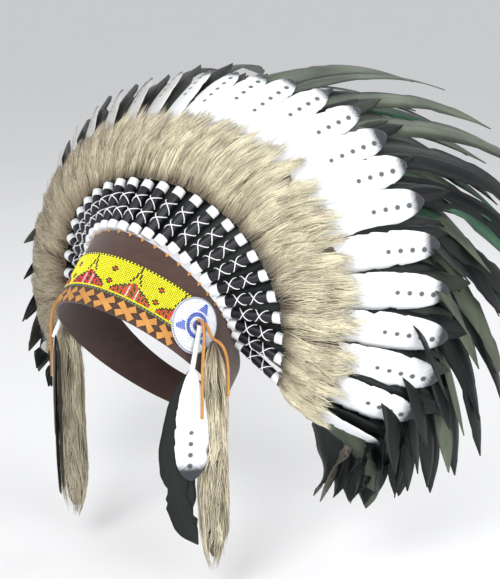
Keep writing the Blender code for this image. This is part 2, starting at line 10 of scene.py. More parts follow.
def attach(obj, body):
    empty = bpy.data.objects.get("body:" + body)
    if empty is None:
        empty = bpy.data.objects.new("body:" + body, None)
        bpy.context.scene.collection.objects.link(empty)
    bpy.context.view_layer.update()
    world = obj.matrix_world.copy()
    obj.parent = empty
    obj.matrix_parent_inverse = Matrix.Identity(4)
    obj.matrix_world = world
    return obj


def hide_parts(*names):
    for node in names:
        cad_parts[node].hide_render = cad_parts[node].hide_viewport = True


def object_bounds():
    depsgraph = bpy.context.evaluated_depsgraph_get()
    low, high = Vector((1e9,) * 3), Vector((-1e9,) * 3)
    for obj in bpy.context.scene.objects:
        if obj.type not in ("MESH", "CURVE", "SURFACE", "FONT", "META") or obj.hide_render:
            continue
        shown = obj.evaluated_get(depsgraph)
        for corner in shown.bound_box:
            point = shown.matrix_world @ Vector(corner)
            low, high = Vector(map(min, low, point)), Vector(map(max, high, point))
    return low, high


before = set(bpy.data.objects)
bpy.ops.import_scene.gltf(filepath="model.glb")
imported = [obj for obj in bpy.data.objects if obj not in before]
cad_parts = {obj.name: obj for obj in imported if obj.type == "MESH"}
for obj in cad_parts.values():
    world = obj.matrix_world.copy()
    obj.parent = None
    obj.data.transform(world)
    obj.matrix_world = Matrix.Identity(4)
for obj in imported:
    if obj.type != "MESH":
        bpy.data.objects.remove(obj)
cad_box = [list(corner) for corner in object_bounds()]

# Camera.  It stands in front of the wearer's left brow and a little above it, and its
# shift is what the photograph's framing needs.
HEAD_MIDDLE = Vector((0, 0.0694, 0.0745))
CAMERA_SIDE = math.radians(38.7)
CAMERA_UP = math.radians(14)
CAMERA_DISTANCE = 1.140
CAMERA_LENS = 74.1
CAMERA_SHIFT = (0.1093, -0.0358)

sight = Vector((
    math.sin(CAMERA_SIDE) * math.cos(CAMERA_UP),
    -math.cos(CAMERA_SIDE) * math.cos(CAMERA_UP),
    math.sin(CAMERA_UP),
))
lens = bpy.data.cameras.new("camera")
lens.lens = CAMERA_LENS
lens.shift_x, lens.shift_y = CAMERA_SHIFT
camera = bpy.data.objects.new("camera", lens)
camera.location = HEAD_MIDDLE + sight * CAMERA_DISTANCE
camera.rotation_mode = "QUATERNION"
camera.rotation_quaternion = (-sight).to_track_quat("-Z", "Y")
bpy.context.collection.objects.link(camera)
bpy.context.scene.camera = camera

# Thongs.  Tan leather laces, drawn out through the middle of each rosette, with one
# end left hanging before the white feather and the other round the fur tail.
HANDS = (("left", 1), ("right", -1))
THONG_DIAMETER = 0.0028
ROUTE_STEPS = 12
THONG_ROUTES = {
    "front": (
        (0.0759, -0.0091, 0.0554),
        (0.0788, -0.0097, 0.0560),
        (0.0830, -0.0120, 0.0545),
        (0.0875, -0.0158, 0.0490),
        (0.0905, -0.0196, 0.0400),
        (0.0916, -0.0222, 0.0290),
        (0.0918, -0.0234, 0.0170),
        (0.0918, -0.0236, 0.0040),
        (0.0918, -0.0236, -0.0110),
        (0.0918, -0.0236, -0.0280),
    ),
    "rear": (
        (0.0778, -0.0053, 0.0520),
        (0.0807, -0.0059, 0.0526),
        (0.0838, -0.0060, 0.0494),
        (0.0862, -0.0054, 0.0438),
        (0.0889, -0.0037, 0.0391),
        (0.0925, -0.0008, 0.0364),
        (0.0957, 0.0017, 0.0310),
        (0.0978, 0.0034, 0.0225),
        (0.0988, 0.0043, 0.0120),
        (0.0990, 0.0045, 0.0000),
        (0.0990, 0.0045, -0.0130),
    ),
}
TAN = (0.64, 0.32, 0.065, 1)
TAN_DARK = (0.40, 0.17, 0.040, 1)


class Value:
    """A node's output, so that shader maths is written as Python expressions."""

    def __init__(self, finish, socket):
        self.finish = finish
        self.socket = socket

    def output(self, name):
        return Value(self.finish, self.socket.node.outputs[name])

    def math(self, operation, *others):
        return self.finish.node("ShaderNodeMath", {"operation": operation}, [self, *others])

    def clamped(self):
        return self.finish.node("ShaderNodeMath", {"operation": "ADD", "use_clamp": True}, [self, 0.0])

    def __add__(self, other):
        return self.math("ADD", other)

    __radd__ = __add__

    def __sub__(self, other):
        return self.math("SUBTRACT", other)

    def __rsub__(self, other):
        return self.finish.node("ShaderNodeMath", {"operation": "SUBTRACT"}, [other, self])

    def __mul__(self, other):
        return self.math("MULTIPLY", other)

    __rmul__ = __mul__

    def __truediv__(self, other):
        return self.math("DIVIDE", other)

    def __pow__(self, other):
        return self.math("POWER", other)


class Finish:
    """A material.  Numbers that are the same all over it are set on its shader."""

    def __init__(self, name, constants):
        self.material = bpy.data.materials.new(name)
        self.material.use_nodes = True
        self.tree = self.material.node_tree
        self.shader = self.tree.nodes["Principled BSDF"]
        for socket, value in constants.items():
            self.shader.inputs[socket].default_value = value

    def node(self, kind, settings, sockets, out=0):
        node = self.tree.nodes.new(kind)
        for name, value in settings.items():
            if name != "stops":
                setattr(node, name, value)
                continue
            ramp = node.color_ramp
            ramp.elements.remove(ramp.elements[1])
            ramp.elements[0].position = value[0][0]
            ramp.elements[0].color = value[0][1]
            for place, colour in value[1:]:
                ramp.elements.new(place).color = colour
        pairs = sockets.items() if isinstance(sockets, dict) else enumerate(sockets)
        for key, value in pairs:
            if isinstance(value, Value):
                self.tree.links.new(value.socket, node.inputs[key])
            else:
                node.inputs[key].default_value = value
        return Value(self, node.outputs[out])

    def place(self):
        return self.node("ShaderNodeTexCoord", {}, {}, "Object")

    def noise(self, place, scale, detail=2.0):
        return self.node("ShaderNodeTexNoise", {}, {"Vector": place, "Scale": scale, "Detail": detail})

    def stretched(self, place, scale):
        return self.node("ShaderNodeVectorMath", {"operation": "MULTIPLY"}, [place, scale])

    def mark(self, name):
        """The three numbers of a piece's own attribute."""
        vector = self.node("ShaderNodeAttribute", {"attribute_name": name}, {}, "Vector")
        x = self.node("ShaderNodeSeparateXYZ", {}, [vector])
        return x, x.output("Y"), x.output("Z")

    def joined(self, x, y, z):
        return self.node("ShaderNodeCombineXYZ", {}, [x, y, z])

    def mixed(self, factor, one, other):
        return self.node("ShaderNodeMix", {"data_type": "RGBA"}, {0: factor, 6: one, 7: other}, 2)

    def ramp(self, factor, stops):
        return self.node("ShaderNodeValToRGB", {"stops": stops}, [factor])

    def feed(self, socket, value):
        self.tree.links.new(value.socket, self.shader.inputs[socket])

    def emboss(self, height, strength, depth):
        bump = self.node("ShaderNodeBump", {}, {"Strength": strength, "Distance": depth, "Height": height})
        self.feed("Normal", bump)


def smooth_route(route, spacing):
    """Evenly spaced points on a smooth curve through a route's own points."""
    knots = [2 * Vector(route[0]) - Vector(route[1])]
    knots += [Vector(point) for point in route]
    knots.append(2 * Vector(route[-1]) - Vector(route[-2]))
    dense = []
    for a, b, c, d in zip(knots, knots[1:], knots[2:], knots[3:]):
        for i in range(ROUTE_STEPS):
            t = i / ROUTE_STEPS
            dense.append(
                b + (c - a) * t / 2
                + (2 * a - 5 * b + 4 * c - d) * t**2 / 2
                + (3 * b - a - 3 * c + d) * t**3 / 2
            )
    dense.append(knots[-2])
    lengths = np.cumsum([0.0] + [(q - p).length for p, q in zip(dense, dense[1:])])
    table = np.array(dense)
    spots = np.linspace(0, lengths[-1], round(lengths[-1] / spacing) + 1)
    return [Vector([np.interp(spot, lengths, table[:, i]) for i in range(3)]) for spot in spots]


tan_leather = Finish("tan_leather", {"Roughness": 0.62, "Specular IOR Level": 0.35, "Sheen Weight": 0.15})
place = tan_leather.place()
grain = tan_leather.noise(place, 900.0, 4.0)
patches = tan_leather.noise(place, 120.0, 2.0)
tan_leather.feed("Base Color", tan_leather.mixed((grain * 0.5 + patches - 0.45).clamped(), TAN_DARK, TAN))
tan_leather.emboss(grain, 0.5, 0.0003)

for end, route in THONG_ROUTES.items():
    for hand, side in HANDS:
        points = smooth_route([(side * x, y, z) for x, y, z in route], THONG_DIAMETER)
        line = bpy.data.curves.new(f"thong_{hand}_{end}", "CURVE")
        line.dimensions = "3D"
        line.bevel_depth = THONG_DIAMETER / 2
        line.bevel_resolution = 3
        line.use_fill_caps = True
        spline = line.splines.new("POLY")
        spline.points.add(len(points) - 1)
        for spot, point in zip(spline.points, points):
            spot.co = (*point, 1)
        line.materials.append(tan_leather.material)
        thong = bpy.data.objects.new(f"lace_{hand}_{end}", line)
        bpy.context.collection.objects.link(thong)
        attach(thong, "root")
        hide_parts(f"thong_{hand}_{end}")
        sum((b - a).length for a, b in zip(points, points[1:]))

# Studio.  A plain pale floor a little below the hanging tails, and soft light from
# before and above, with a weaker one behind for the shine on the long feathers.
FLOOR_DROP = 0.05
FLOOR_SIZE = 160


def fresh(add, name, **settings):
    """A new primitive, the only thing selected."""
    bpy.ops.object.select_all(action="DESELECT")
    add(**settings)
    thing = bpy.context.object
    thing.name = name
    return thing


floor = fresh(
    bpy.ops.mesh.primitive_plane_add, "floor", size=FLOOR_SIZE, location=(0, 0, cad_box[0][2] - FLOOR_DROP))
floor_paint = Finish("floor_paint", {"Roughness": 0.9, "Specular IOR Level": 0.1})
tone = floor_paint.noise(floor_paint.place(), 3.0, 2.0)
floor_paint.feed("Base Color", floor_paint.mixed(tone, (0.84, 0.84, 0.85, 1), (0.87, 0.87, 0.87, 1)))
floor.data.materials.append(floor_paint.material)

world = bpy.data.worlds.new("studio")
world.use_nodes = True
world.node_tree.nodes["Background"].inputs["Color"].default_value = (0.97, 0.98, 1.0, 1)
world.node_tree.nodes["Background"].inputs["Strength"].default_value = 0.70
bpy.context.scene.world = world
bpy.context.scene.view_settings.view_transform = "Standard"

for name, place, energy, size in (
    ("key_light", (0.35, -1.40, 1.15), 19.0, 0.7),
    ("side_light", (1.50, -0.60, 0.60), 15.0, 0.9),
    ("top_light", (0.30, 0.90, 1.35), 10.0, 0.9),
):
    lamp = bpy.data.lights.new(name, "AREA")
    lamp.energy = energy
    lamp.size = size
    light = bpy.data.objects.new(name, lamp)
    light.location = place
    light.rotation_mode = "QUATERNION"
    light.rotation_quaternion = (HEAD_MIDDLE - Vector(place)).to_track_quat("-Z", "Y")
    bpy.context.collection.objects.link(light)

# Headband.  One strap of dark suede, sewn into a ring that is high at the brow and
# low at the nape, and worn tilted.  Everything else is stitched to it.
GAP = 0.0003
PROBE = 0.0005
HEAD_WIDTH = 0.148
HEAD_LENGTH = 0.207
BAND_WALL = 0.002
BAND_TILT = 43.0
BROW_HEIGHT = 0.0766
NAPE_HEIGHT = 0.0322
BAND_ROWS = 6
SUEDE = (0.084, 0.043, 0.033, 1)
SUEDE_DARK = (0.041, 0.021, 0.017, 1)

half_x = HEAD_WIDTH / 2 + BAND_WALL
half_y = HEAD_LENGTH / 2 + BAND_WALL
tilt = Matrix.Rotation(math.radians(-BAND_TILT), 3, "X")
tilt_rows = np.array(tilt)

ring_angles = np.radians(np.linspace(-180, 180, 2881))
ring_steps = np.hypot(half_x * np.cos(ring_angles), half_y * np.sin(ring_angles))
ring_arcs = np.cumsum(ring_steps * (ring_angles[1] - ring_angles[0]))
ring_arcs -= np.interp(0, ring_angles, ring_arcs)


def ring_angle(arc):
    """Angle round the band's oval at an arc length from the brow, positive to the left."""
    return np.interp(arc, ring_arcs, ring_angles)


def band_top(angle):
    return (BROW_HEIGHT + NAPE_HEIGHT) / 2 + (BROW_HEIGHT - NAPE_HEIGHT) / 2 * np.cos(angle)


def oval_points(angle, up, out):
    """Places off the band's outer face, before the band is tilted."""
    angle, up, out = np.broadcast_arrays(angle, up, out)
    outward = np.stack((half_y * np.sin(angle), -half_x * np.cos(angle)), axis=-1)
    outward = outward / np.linalg.norm(outward, axis=-1, keepdims=True) * out[..., None]
    return np.stack((
        half_x * np.sin(angle) + outward[..., 0],
        -half_y * np.cos(angle) + outward[..., 1],
        up,
    ), axis=-1)


def wall_points(arc, up, out):
    """Places on the worn band: arc from the brow, height above its lower edge, and out."""
    return oval_points(ring_angle(arc), up, out) @ tilt_rows.T


def only(thing):
    """Selects one object alone and makes it the active one."""
    bpy.ops.object.select_all(action="DESELECT")
    thing.select_set(True)
    bpy.context.view_layer.objects.active = thing
    return thing


def get_points(thing):
    points = np.empty(len(thing.data.vertices) * 3)
    thing.data.vertices.foreach_get("co", points)
    return points.reshape(-1, 3)


def set_points(thing, points):
    thing.data.vertices.foreach_set("co", np.asarray(points, float).ravel())
    thing.data.update()


@contextlib.contextmanager
def editing():
    """Edit mode with the whole mesh selected."""
    bpy.ops.object.mode_set(mode="EDIT")
    bpy.ops.mesh.select_all(action="SELECT")
    yield
    bpy.ops.object.mode_set(mode="OBJECT")


def walled(thing, thickness, rim=0.0, segments=1):
    """Gives a sheet its thickness, inwards, and a bevelled rim if it has one."""
    wall = thing.modifiers.new("wall", "SOLIDIFY")
    wall.thickness = thickness
    wall.offset = -1
    if rim:
        edge = thing.modifiers.new("edge", "BEVEL")
        edge.width = rim
        edge.segments = segments
        edge.limit_method = "ANGLE"
    only(thing)
    for modifier in list(thing.modifiers):
        bpy.ops.object.modifier_apply(modifier=modifier.name)


def seat(thing, nodes, finish=None):
    """Gives a finished piece its material, hangs it on the root body, and hides the parts that it stands in
    for.
    """
    if finish:
        thing.data.materials.append(finish.material)
    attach(thing, "root")
    if nodes:
        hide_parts(*nodes)


suede = Finish("suede", {
    "Roughness": 0.95, "Specular IOR Level": 0.15, "Sheen Weight": 0.25, "Sheen Roughness": 0.6})
place = suede.place()
nap = suede.noise(place, 1400.0, 5.0)
brushed = suede.noise(suede.stretched(place, (60.0, 60.0, 160.0)), 1.0, 3.0)
suede.feed("Base Color", suede.mixed((nap * 0.45 + brushed * 0.9 - 0.2).clamped(), SUEDE_DARK, SUEDE))
suede.emboss(nap * 0.6 + brushed, 0.55, 0.0006)

band = fresh(bpy.ops.mesh.primitive_circle_add, "suede_band", vertices=144, radius=1)
with editing():
    for step in range(BAND_ROWS):
        bpy.ops.mesh.extrude_region_move(TRANSFORM_OT_translate={"value": (0, 0, 1 / BAND_ROWS)})
    bpy.ops.mesh.select_all(action="SELECT")
    bpy.ops.mesh.normals_make_consistent(inside=False)
points = get_points(band)
angles = np.arctan2(points[:, 0], -points[:, 1])
heights = points[:, 2] * (band_top(angles) - 2 * GAP) + GAP
set_points(band, oval_points(angles, heights, 0.0) @ tilt_rows.T)
walled(band, BAND_WALL, 0.0006, 2)
bpy.ops.object.shade_smooth_by_angle(angle=math.radians(50))
seat(band, ["headband"], suede)

# Beadwork.  Glass seed beads in straight rows and columns, sewn down as one strip:
# black edges, a yellow ground, and stepped red hills with a black stem on each.
LACED_EDGE = 0.0163
BEADWORK_HEIGHT = 0.0347
BEADWORK_THICKNESS = 0.0018
ROSETTE_ARC = 0.103
BEAD_ROWS = 20
BEAD_PITCH = 0.00165
BEAD_RADIUS = 0.00088
BEADS_SHORT = 0.003
REPEAT = 27
HILL_ARC = 0.0385
HILL_STEPS = (9, 9, 8, 8, 7, 7, 6, 6, 5, 5, 4, 3)
STEM_ROWS = {18: 0, 17: 0, 16: 0, 15: 1, 14: 1, 13: 1, 12: 2, 11: 2, 10: 3}
CROSS_ROWS = (13, 6)
BEAD_COLOURS = {
    "yellow": (0.98, 0.94, 0.01, 1),
    "black": (0.012, 0.012, 0.016, 1),
    "red": (0.84, 0.035, 0.045, 1),
    "garnet": (0.11, 0.006, 0.010, 1),
    "rose": (0.86, 0.62, 0.62, 1),
    "white": (0.90, 0.92, 0.95, 1),
    "blue": (0.035, 0.11, 0.58, 1),
    "slate": (0.16, 0.21, 0.33, 1),
}


def glass(name, colour):
    """Opaque glass, a little uneven from bead to bead."""
    beads = Finish(f"{name}_glass", {"Roughness": 0.2, "Coat Weight": 0.5, "Coat Roughness": 0.08})
    cast = beads.noise(beads.place(), 620.0, 0.0)
    deep = tuple(part * 0.72 for part in colour[:3]) + (1,)
    beads.feed("Base Color", beads.mixed((cast * 1.6 - 0.3).clamped(), deep, colour))
    beads.feed("Roughness", cast * 0.2 + 0.12)
    return beads.material


def copies(name, model, bases, spots, paints=None):
    """One piece of many copies of a modelled piece, each turned by its base at its spot."""
    shape = get_points(model)
    faces = [tuple(face.vertices) for face in model.data.polygons]
    bases = np.asarray(bases, float)
    spots = np.asarray(spots, float)
    points = np.einsum("nij,vj->nvi", bases, shape) + spots[:, None, :]
    count = len(shape)
    all_faces = [tuple(i + n * count for i in face) for n in range(len(spots)) for face in faces]
    mesh = bpy.data.meshes.new(name)
    mesh.from_pydata(points.reshape(-1, 3).tolist(), [], all_faces)
    own = mesh.attributes.new("own", "FLOAT_VECTOR", "POINT")
    own.data.foreach_set("vector", np.tile(shape * 1000, (len(spots), 1)).ravel())
    for material in model.data.materials:
        mesh.materials.append(material)
    if paints is None:
        slots = [face.material_index for face in model.data.polygons] * len(spots)
    else:
        slots = np.repeat(paints, len(faces)).tolist()
    mesh.polygons.foreach_set("material_index", slots)
    mesh.shade_smooth()
    thing = bpy.data.objects.new(name, mesh)
    bpy.context.collection.objects.link(thing)
    return thing


def beadwork_colour(column, row):
    """Colour of one bead, from the pattern's own steps."""
    if row == 0:
        return "slate" if column % 2 else "black"
    if row == BEAD_ROWS - 1:
        return "yellow" if column % 2 else "black"
    step = (column + REPEAT // 2) % REPEAT - REPEAT // 2
    off = abs(step)
    if row > 1 and off < len(HILL_STEPS):
        top = HILL_STEPS[off]
        if row < top:
            if step in (-2, 3):
                return "rose" if row % 2 else "white"
            return "black" if step in (-9, -7, -5, 0, 1, 5, 7, 9) and (row + off) % 3 else "red"
        if row == top:
            return "black" if off > 2 or step == 0 else "red"
    if STEM_ROWS.get(row) == off:
        return "black"
    away = REPEAT // 2 - off
    for centre in CROSS_ROWS:
        if away == 0 and row == centre:
            return "red"
        if away + abs(row - centre) == 1:
            return "black"
    return "yellow"


def place_beads(columns, rows):
    arcs = columns * BEAD_PITCH
    ups = LACED_EDGE + (rows + 0.5) * BEADWORK_HEIGHT / BEAD_ROWS
    spots = wall_points(arcs, ups, GAP + BEADWORK_THICKNESS / 2)
    ahead = wall_points(arcs + PROBE, ups, GAP + BEADWORK_THICKNESS / 2)
    along = ahead - spots
    along /= np.linalg.norm(along, axis=1, keepdims=True)
    up = np.tile(tilt_rows[:, 2], (len(spots), 1))
    out = np.cross(up, along)
    return np.stack((along, up, -out), axis=2), spots


bead = fresh(bpy.ops.mesh.primitive_uv_sphere_add, "bead", segments=8, ring_count=4, radius=BEAD_RADIUS)
with editing():
    bpy.ops.transform.resize(value=(0.92, 0.98, 0.98))
for name, colour in BEAD_COLOURS.items():
    bead.data.materials.append(glass(name, colour))
paint_order = list(BEAD_COLOURS)

half_columns = int((ROSETTE_ARC - BEADS_SHORT) / BEAD_PITCH)
columns, rows = np.meshgrid(np.arange(-half_columns, half_columns + 1), np.arange(BEAD_ROWS))
columns, rows = columns.ravel(), rows.ravel()
hill_column = round(HILL_ARC / BEAD_PITCH)
paints = [paint_order.index(beadwork_colour(c - hill_column, r)) for c, r in zip(columns, rows)]
bases, spots = place_beads(columns, rows)
beadwork = copies("seed_bead_strip", bead, bases, spots, paints)
seat(beadwork, ["brow_beadwork"])

# Backing of the beadwork.  A woven strip that the rows of beads are sewn to, itself
# stitched flat to the suede.
BACKING_THICKNESS = 0.0006
BACKING_SHORT = 0.002

backing_cloth = Finish("backing_cloth", {"Roughness": 0.9, "Specular IOR Level": 0.1})
weave = backing_cloth.node(
    "ShaderNodeTexWave", {}, {"Vector": backing_cloth.place(), "Scale": 900.0, "Distortion": 1.0})
backing_cloth.feed("Base Color", backing_cloth.mixed(weave, (0.22, 0.20, 0.03, 1), (0.40, 0.36, 0.05, 1)))
backing_cloth.emboss(weave, 0.4, 0.0002)

backing = fresh(
    bpy.ops.mesh.primitive_grid_add, "bead_backing", x_subdivisions=96, y_subdivisions=2, size=1)
points = get_points(backing)
set_points(backing, wall_points(
    points[:, 0] * 2 * (ROSETTE_ARC - BACKING_SHORT),
    LACED_EDGE + (points[:, 1] + 0.5) * BEADWORK_HEIGHT,
    GAP + BACKING_THICKNESS,
))
walled(backing, BACKING_THICKNESS)
seat(backing, [], backing_cloth)

# Lacing.  A flat tan lace, crossed over itself along the band's bare lower edge and
# pushed through it at each foot.
LACE_PITCH = 0.0205
LACE_WIDTH = 0.0044
LACE_SPAN = 0.0150
LACE_MARGIN = 0.0012
LACE_THICKNESS = 0.0008
CROSSES = 4

lace = fresh(bpy.ops.mesh.primitive_grid_add, "lace", x_subdivisions=12, y_subdivisions=2, size=1)
shape = get_points(lace)
faces = [tuple(face.vertices) for face in lace.data.polygons]
low = LACE_MARGIN + LACE_WIDTH * 0.35
high = LACED_EDGE - LACE_MARGIN - LACE_WIDTH * 0.35
lace_points = []
for step in range(-CROSSES, CROSSES + 1):
    for lay, rise in enumerate((1, -1)):
        way = np.array((LACE_SPAN, rise * (high - low)))
        across = np.array((-way[1], way[0])) / np.hypot(*way) * LACE_WIDTH
        flat = shape[:, :1] * way + shape[:, 1:2] * across * (1 + 0.45 * abs(shape[:, :1] * 2) ** 1.5)
        hump = lay * LACE_THICKNESS * 1.1 * np.clip(1.4 - abs(shape[:, 0]) * 5, 0, 1)
        lace_points.append(wall_points(
            step * LACE_PITCH + flat[:, 0],
            (low + high) / 2 + flat[:, 1],
            GAP + LACE_THICKNESS + hump,
        ))
count = len(shape)
mesh = bpy.data.meshes.new("crossed_lacing")
mesh.from_pydata(
    np.concatenate(lace_points).tolist(), [],
    [tuple(i + n * count for i in face) for n in range(len(lace_points)) for face in faces],
)
lacing = bpy.data.objects.new("crossed_lacing", mesh)
bpy.context.collection.objects.link(lacing)
bpy.data.objects.remove(lace)
walled(lacing, LACE_THICKNESS, 0.0002)
bpy.ops.object.shade_smooth_by_angle(angle=math.radians(40))
seat(lacing, ["edge_lacing"], tan_leather)

# Rosettes.  Rings of white seed beads round a hole, with a blue ring and stepped blue
# arrowheads, on a stiff disc that has a slate beaded rim.
ROSETTE_DIAMETER = 0.050
ROSETTE_THICKNESS = 0.0036
ROSETTE_CLEARANCE = 0.0022
BEAD_SINK = 0.0009
TAPE_DIAMETER = 0.0106
ARROW_ANGLES = (90, 210, 330)

rosette_up = float(band_top(ring_angle(ROSETTE_ARC)))
rosette_up -= ROSETTE_DIAMETER / 2 + TAPE_DIAMETER / 2 + ROSETTE_CLEARANCE
rosette_back = GAP + BEADWORK_THICKNESS + GAP


def rosette_points(arc, up, out):
    """Places on the wearer's left rosette, measured from its centre."""
    return wall_points(ROSETTE_ARC + arc, rosette_up + up, rosette_back + out)


def rosette_colour(ring, rings, turn):
    if ring >= rings - 1:
        return "slate"
    if ring in (2, 5, 6):
        return "blue"
    if ring < 2:
        return "garnet"
    for arrow in ARROW_ANGLES:
        away = abs((turn - arrow + 180) % 360 - 180)
        if 8 <= ring <= 12 and away < (13.2 - ring) * 3.6:
            return "blue"
    return "white"


def dome(share):
    return ROSETTE_THICKNESS * np.interp(share, (0, 0.5, 0.85, 1), (1.0, 0.95, 0.75, 0.3))


rings = int(ROSETTE_DIAMETER / 2 / BEAD_PITCH)
spots, bases, paints = [], [], []
for ring in range(1, rings):
    radius = (ring + 0.35) * ROSETTE_DIAMETER / 2 / rings
    number = round(2 * math.pi * radius / BEAD_PITCH)
    for i in range(number):
        turn = 2 * math.pi * i / number
        arc, up = radius * math.cos(turn), radius * math.sin(turn)
        out = dome(radius / ROSETTE_DIAMETER * 2) - BEAD_SINK
        spot = rosette_points(arc, up, out)
        side = rosette_points(arc - PROBE * math.sin(turn), up + PROBE * math.cos(turn), out) - spot
        lift = rosette_points(arc, up, out + PROBE) - spot
        side /= np.linalg.norm(side)
        lift /= np.linalg.norm(lift)
        spots.append(spot)
        bases.append(np.stack((side, np.cross(lift, side), lift), axis=1))
        paints.append(paint_order.index(rosette_colour(ring, rings, math.degrees(turn))))
spots = np.array(spots)
bases = np.array(bases)
MIRROR = np.array((-1.0, 1.0, 1.0))
for hand, side in HANDS:
    turned = bases.copy()
    if side < 0:
        turned = turned * MIRROR[:, None]
        turned[:, :, 0] *= -1
    rosette = copies(f"rosette_beads_{hand}", bead, turned, spots * (side, 1, 1), paints)
    seat(rosette, [f"rosette_{hand}"])

felt = Finish("rosette_felt", {"Roughness": 0.95, "Specular IOR Level": 0.1})
fuzz = felt.noise(felt.place(), 1200.0, 4.0)
felt.feed("Base Color", felt.mixed(fuzz, (0.52, 0.53, 0.58, 1), (0.76, 0.77, 0.80, 1)))
felt.emboss(fuzz, 0.4, 0.0003)
for hand, side in HANDS:
    disc = fresh(
        bpy.ops.mesh.primitive_circle_add, f"rosette_disc_{hand}",
        vertices=48, radius=ROSETTE_DIAMETER / 2, fill_type="NGON")
    with editing():
        bpy.ops.mesh.extrude_region_move(TRANSFORM_OT_translate={"value": (0, 0, 0.0008)})
        for inset, rise in ((0.24, 0.0012), (0.16, 0.0003)):
            bpy.ops.transform.resize(value=(0.99, 0.99, 1))
            bpy.ops.mesh.inset(thickness=ROSETTE_DIAMETER / 2 * inset, depth=rise)
        bpy.ops.mesh.select_all(action="SELECT")
        bpy.ops.mesh.normals_make_consistent(inside=False)
    points = get_points(disc)
    set_points(disc, rosette_points(points[:, 0], points[:, 1], points[:, 2]) * (side, 1, 1))
    if side < 0:
        disc.data.flip_normals()
    seat(disc, [], felt)

# Quills.  Each feather's stiff quill is wound with black satin and bound with white
# tape at both ends, and a white thread crosses twice over its front.
QUILL_LENGTH = 0.055
WRAP_DIAMETER = 0.0095
TAPE_LENGTH = 0.008
WRAP_TUCK = 0.001
WRAP_PAST = 0.0018
WRAP_RIM = 0.0003
TAPE_RIM = 0.0007
QUILL_SIDES = 20
QUILL_SPACING = 0.002
PLUME_REACH = 0.1638
THREAD = 0.0010
THREAD_RISE = 0.0062
THREAD_TURN = 104
FAN_COLUMNS = ("share", "side_lean", "back_lean", "turn", "pull", "white", "coque", "droop", "fur")
FAN = (
    (0.00, 0, 3, 22, -56, 1.00, 1.00, 34, 1.00),
    (0.16, 12, 1, 22, -56, 1.00, 1.00, 42, 1.00),
    (0.33, 29, 0, 22, -50, 1.00, 0.97, 55, 1.00),
    (0.54, 50, 0, 28, -35, 0.95, 0.93, 68, 0.97),
    (0.75, 77, 8, 38, -20, 0.92, 0.83, 80, 0.90),
    (0.91, 99, 15, 45, -10, 0.82, 0.67, 72, 0.78),
    (1.00, 113, 19, 45, -7, 0.66, 0.54, 56, 0.68),
)
SINK = (0.0, 0.35, -0.94)
DROOP_POWER = 2.2
TURN_LIMIT = 1.15
LEAN_BLEND = 0.05
SWEEP_POWER = 1.7
LINE_STEPS = 44
WHITE_LENGTH = 0.160
COQUE_LENGTH = 0.345

plume_pitch = TAPE_DIAMETER + QUILL_SPACING
plumes_a_side = round(PLUME_REACH / plume_pitch)
plume_names = [f"plume_{i + 1:02d}" for i in range(2 * plumes_a_side + 1)]


def smooth_curve(knots, values, spots):
    """A smooth curve through values at their knots, read at other spots."""
    slopes = np.gradient(values, knots)
    low = np.clip(np.searchsorted(knots, spots, side="right") - 1, 0, len(knots) - 2)
    width = knots[low + 1] - knots[low]
    t = (spots - knots[low]) / width
    return (
        (2 * t**3 - 3 * t**2 + 1) * values[low] + (t**3 - 2 * t**2 + t) * width * slopes[low]
        + (3 * t**2 - 2 * t**3) * values[low + 1] + (t**3 - t**2) * width * slopes[low + 1]
    )


def fan_row(share):
    """The fan's values at a share of the way from the brow to the last plume."""
    columns = np.array(FAN, dtype=float).T
    share = min(max(share, 0.0), 1.0)
    return {
        name: float(smooth_curve(columns[0], values, share))
        for name, values in zip(FAN_COLUMNS, columns)
    }


def rotated(direction, towards, angle):
    return Matrix.Rotation(angle, 3, direction.cross(towards).normalized()) @ direction


class Line:
    """A feather's centre line, with its width and front, at distances from its start."""

    def __init__(self, points, headings, across, side=1):
        flip = np.array((side, 1.0, 1.0))
        self.points = np.array(points, float) * flip
        self.headings = np.array(headings, float) * flip
        self.across = np.array(across, float) * flip
        self.side = side
        steps = np.linalg.norm(np.diff(self.points, axis=0), axis=1)
        self.distances = np.concatenate(([0], np.cumsum(steps)))
        self.tip = self.distances[-1]

    def at(self, distances):
        distances = np.asarray(distances, float)
        point, way = (
            np.stack([np.interp(distances, self.distances, table[:, i]) for i in range(3)], axis=-1)
            for table in (self.points, self.headings)
        )
        way /= np.linalg.norm(way, axis=-1, keepdims=True)
        point = point + way * np.clip(distances - self.tip, 0, None)[..., None]
        across = self.across - way * (way @ self.across)[..., None]
        across /= np.linalg.norm(across, axis=-1, keepdims=True)
        face = np.cross(across, way) * self.side
        return point, way, across, face


def lean_direction(row, lean=0.0, back=0.0):
    side_lean = math.radians(row["side_lean"] + lean)
    back_lean = math.radians(row["back_lean"] + back)
    return Vector((
        math.sin(side_lean) * math.cos(back_lean),
        math.sin(back_lean),
        math.cos(side_lean) * math.cos(back_lean),
    ))


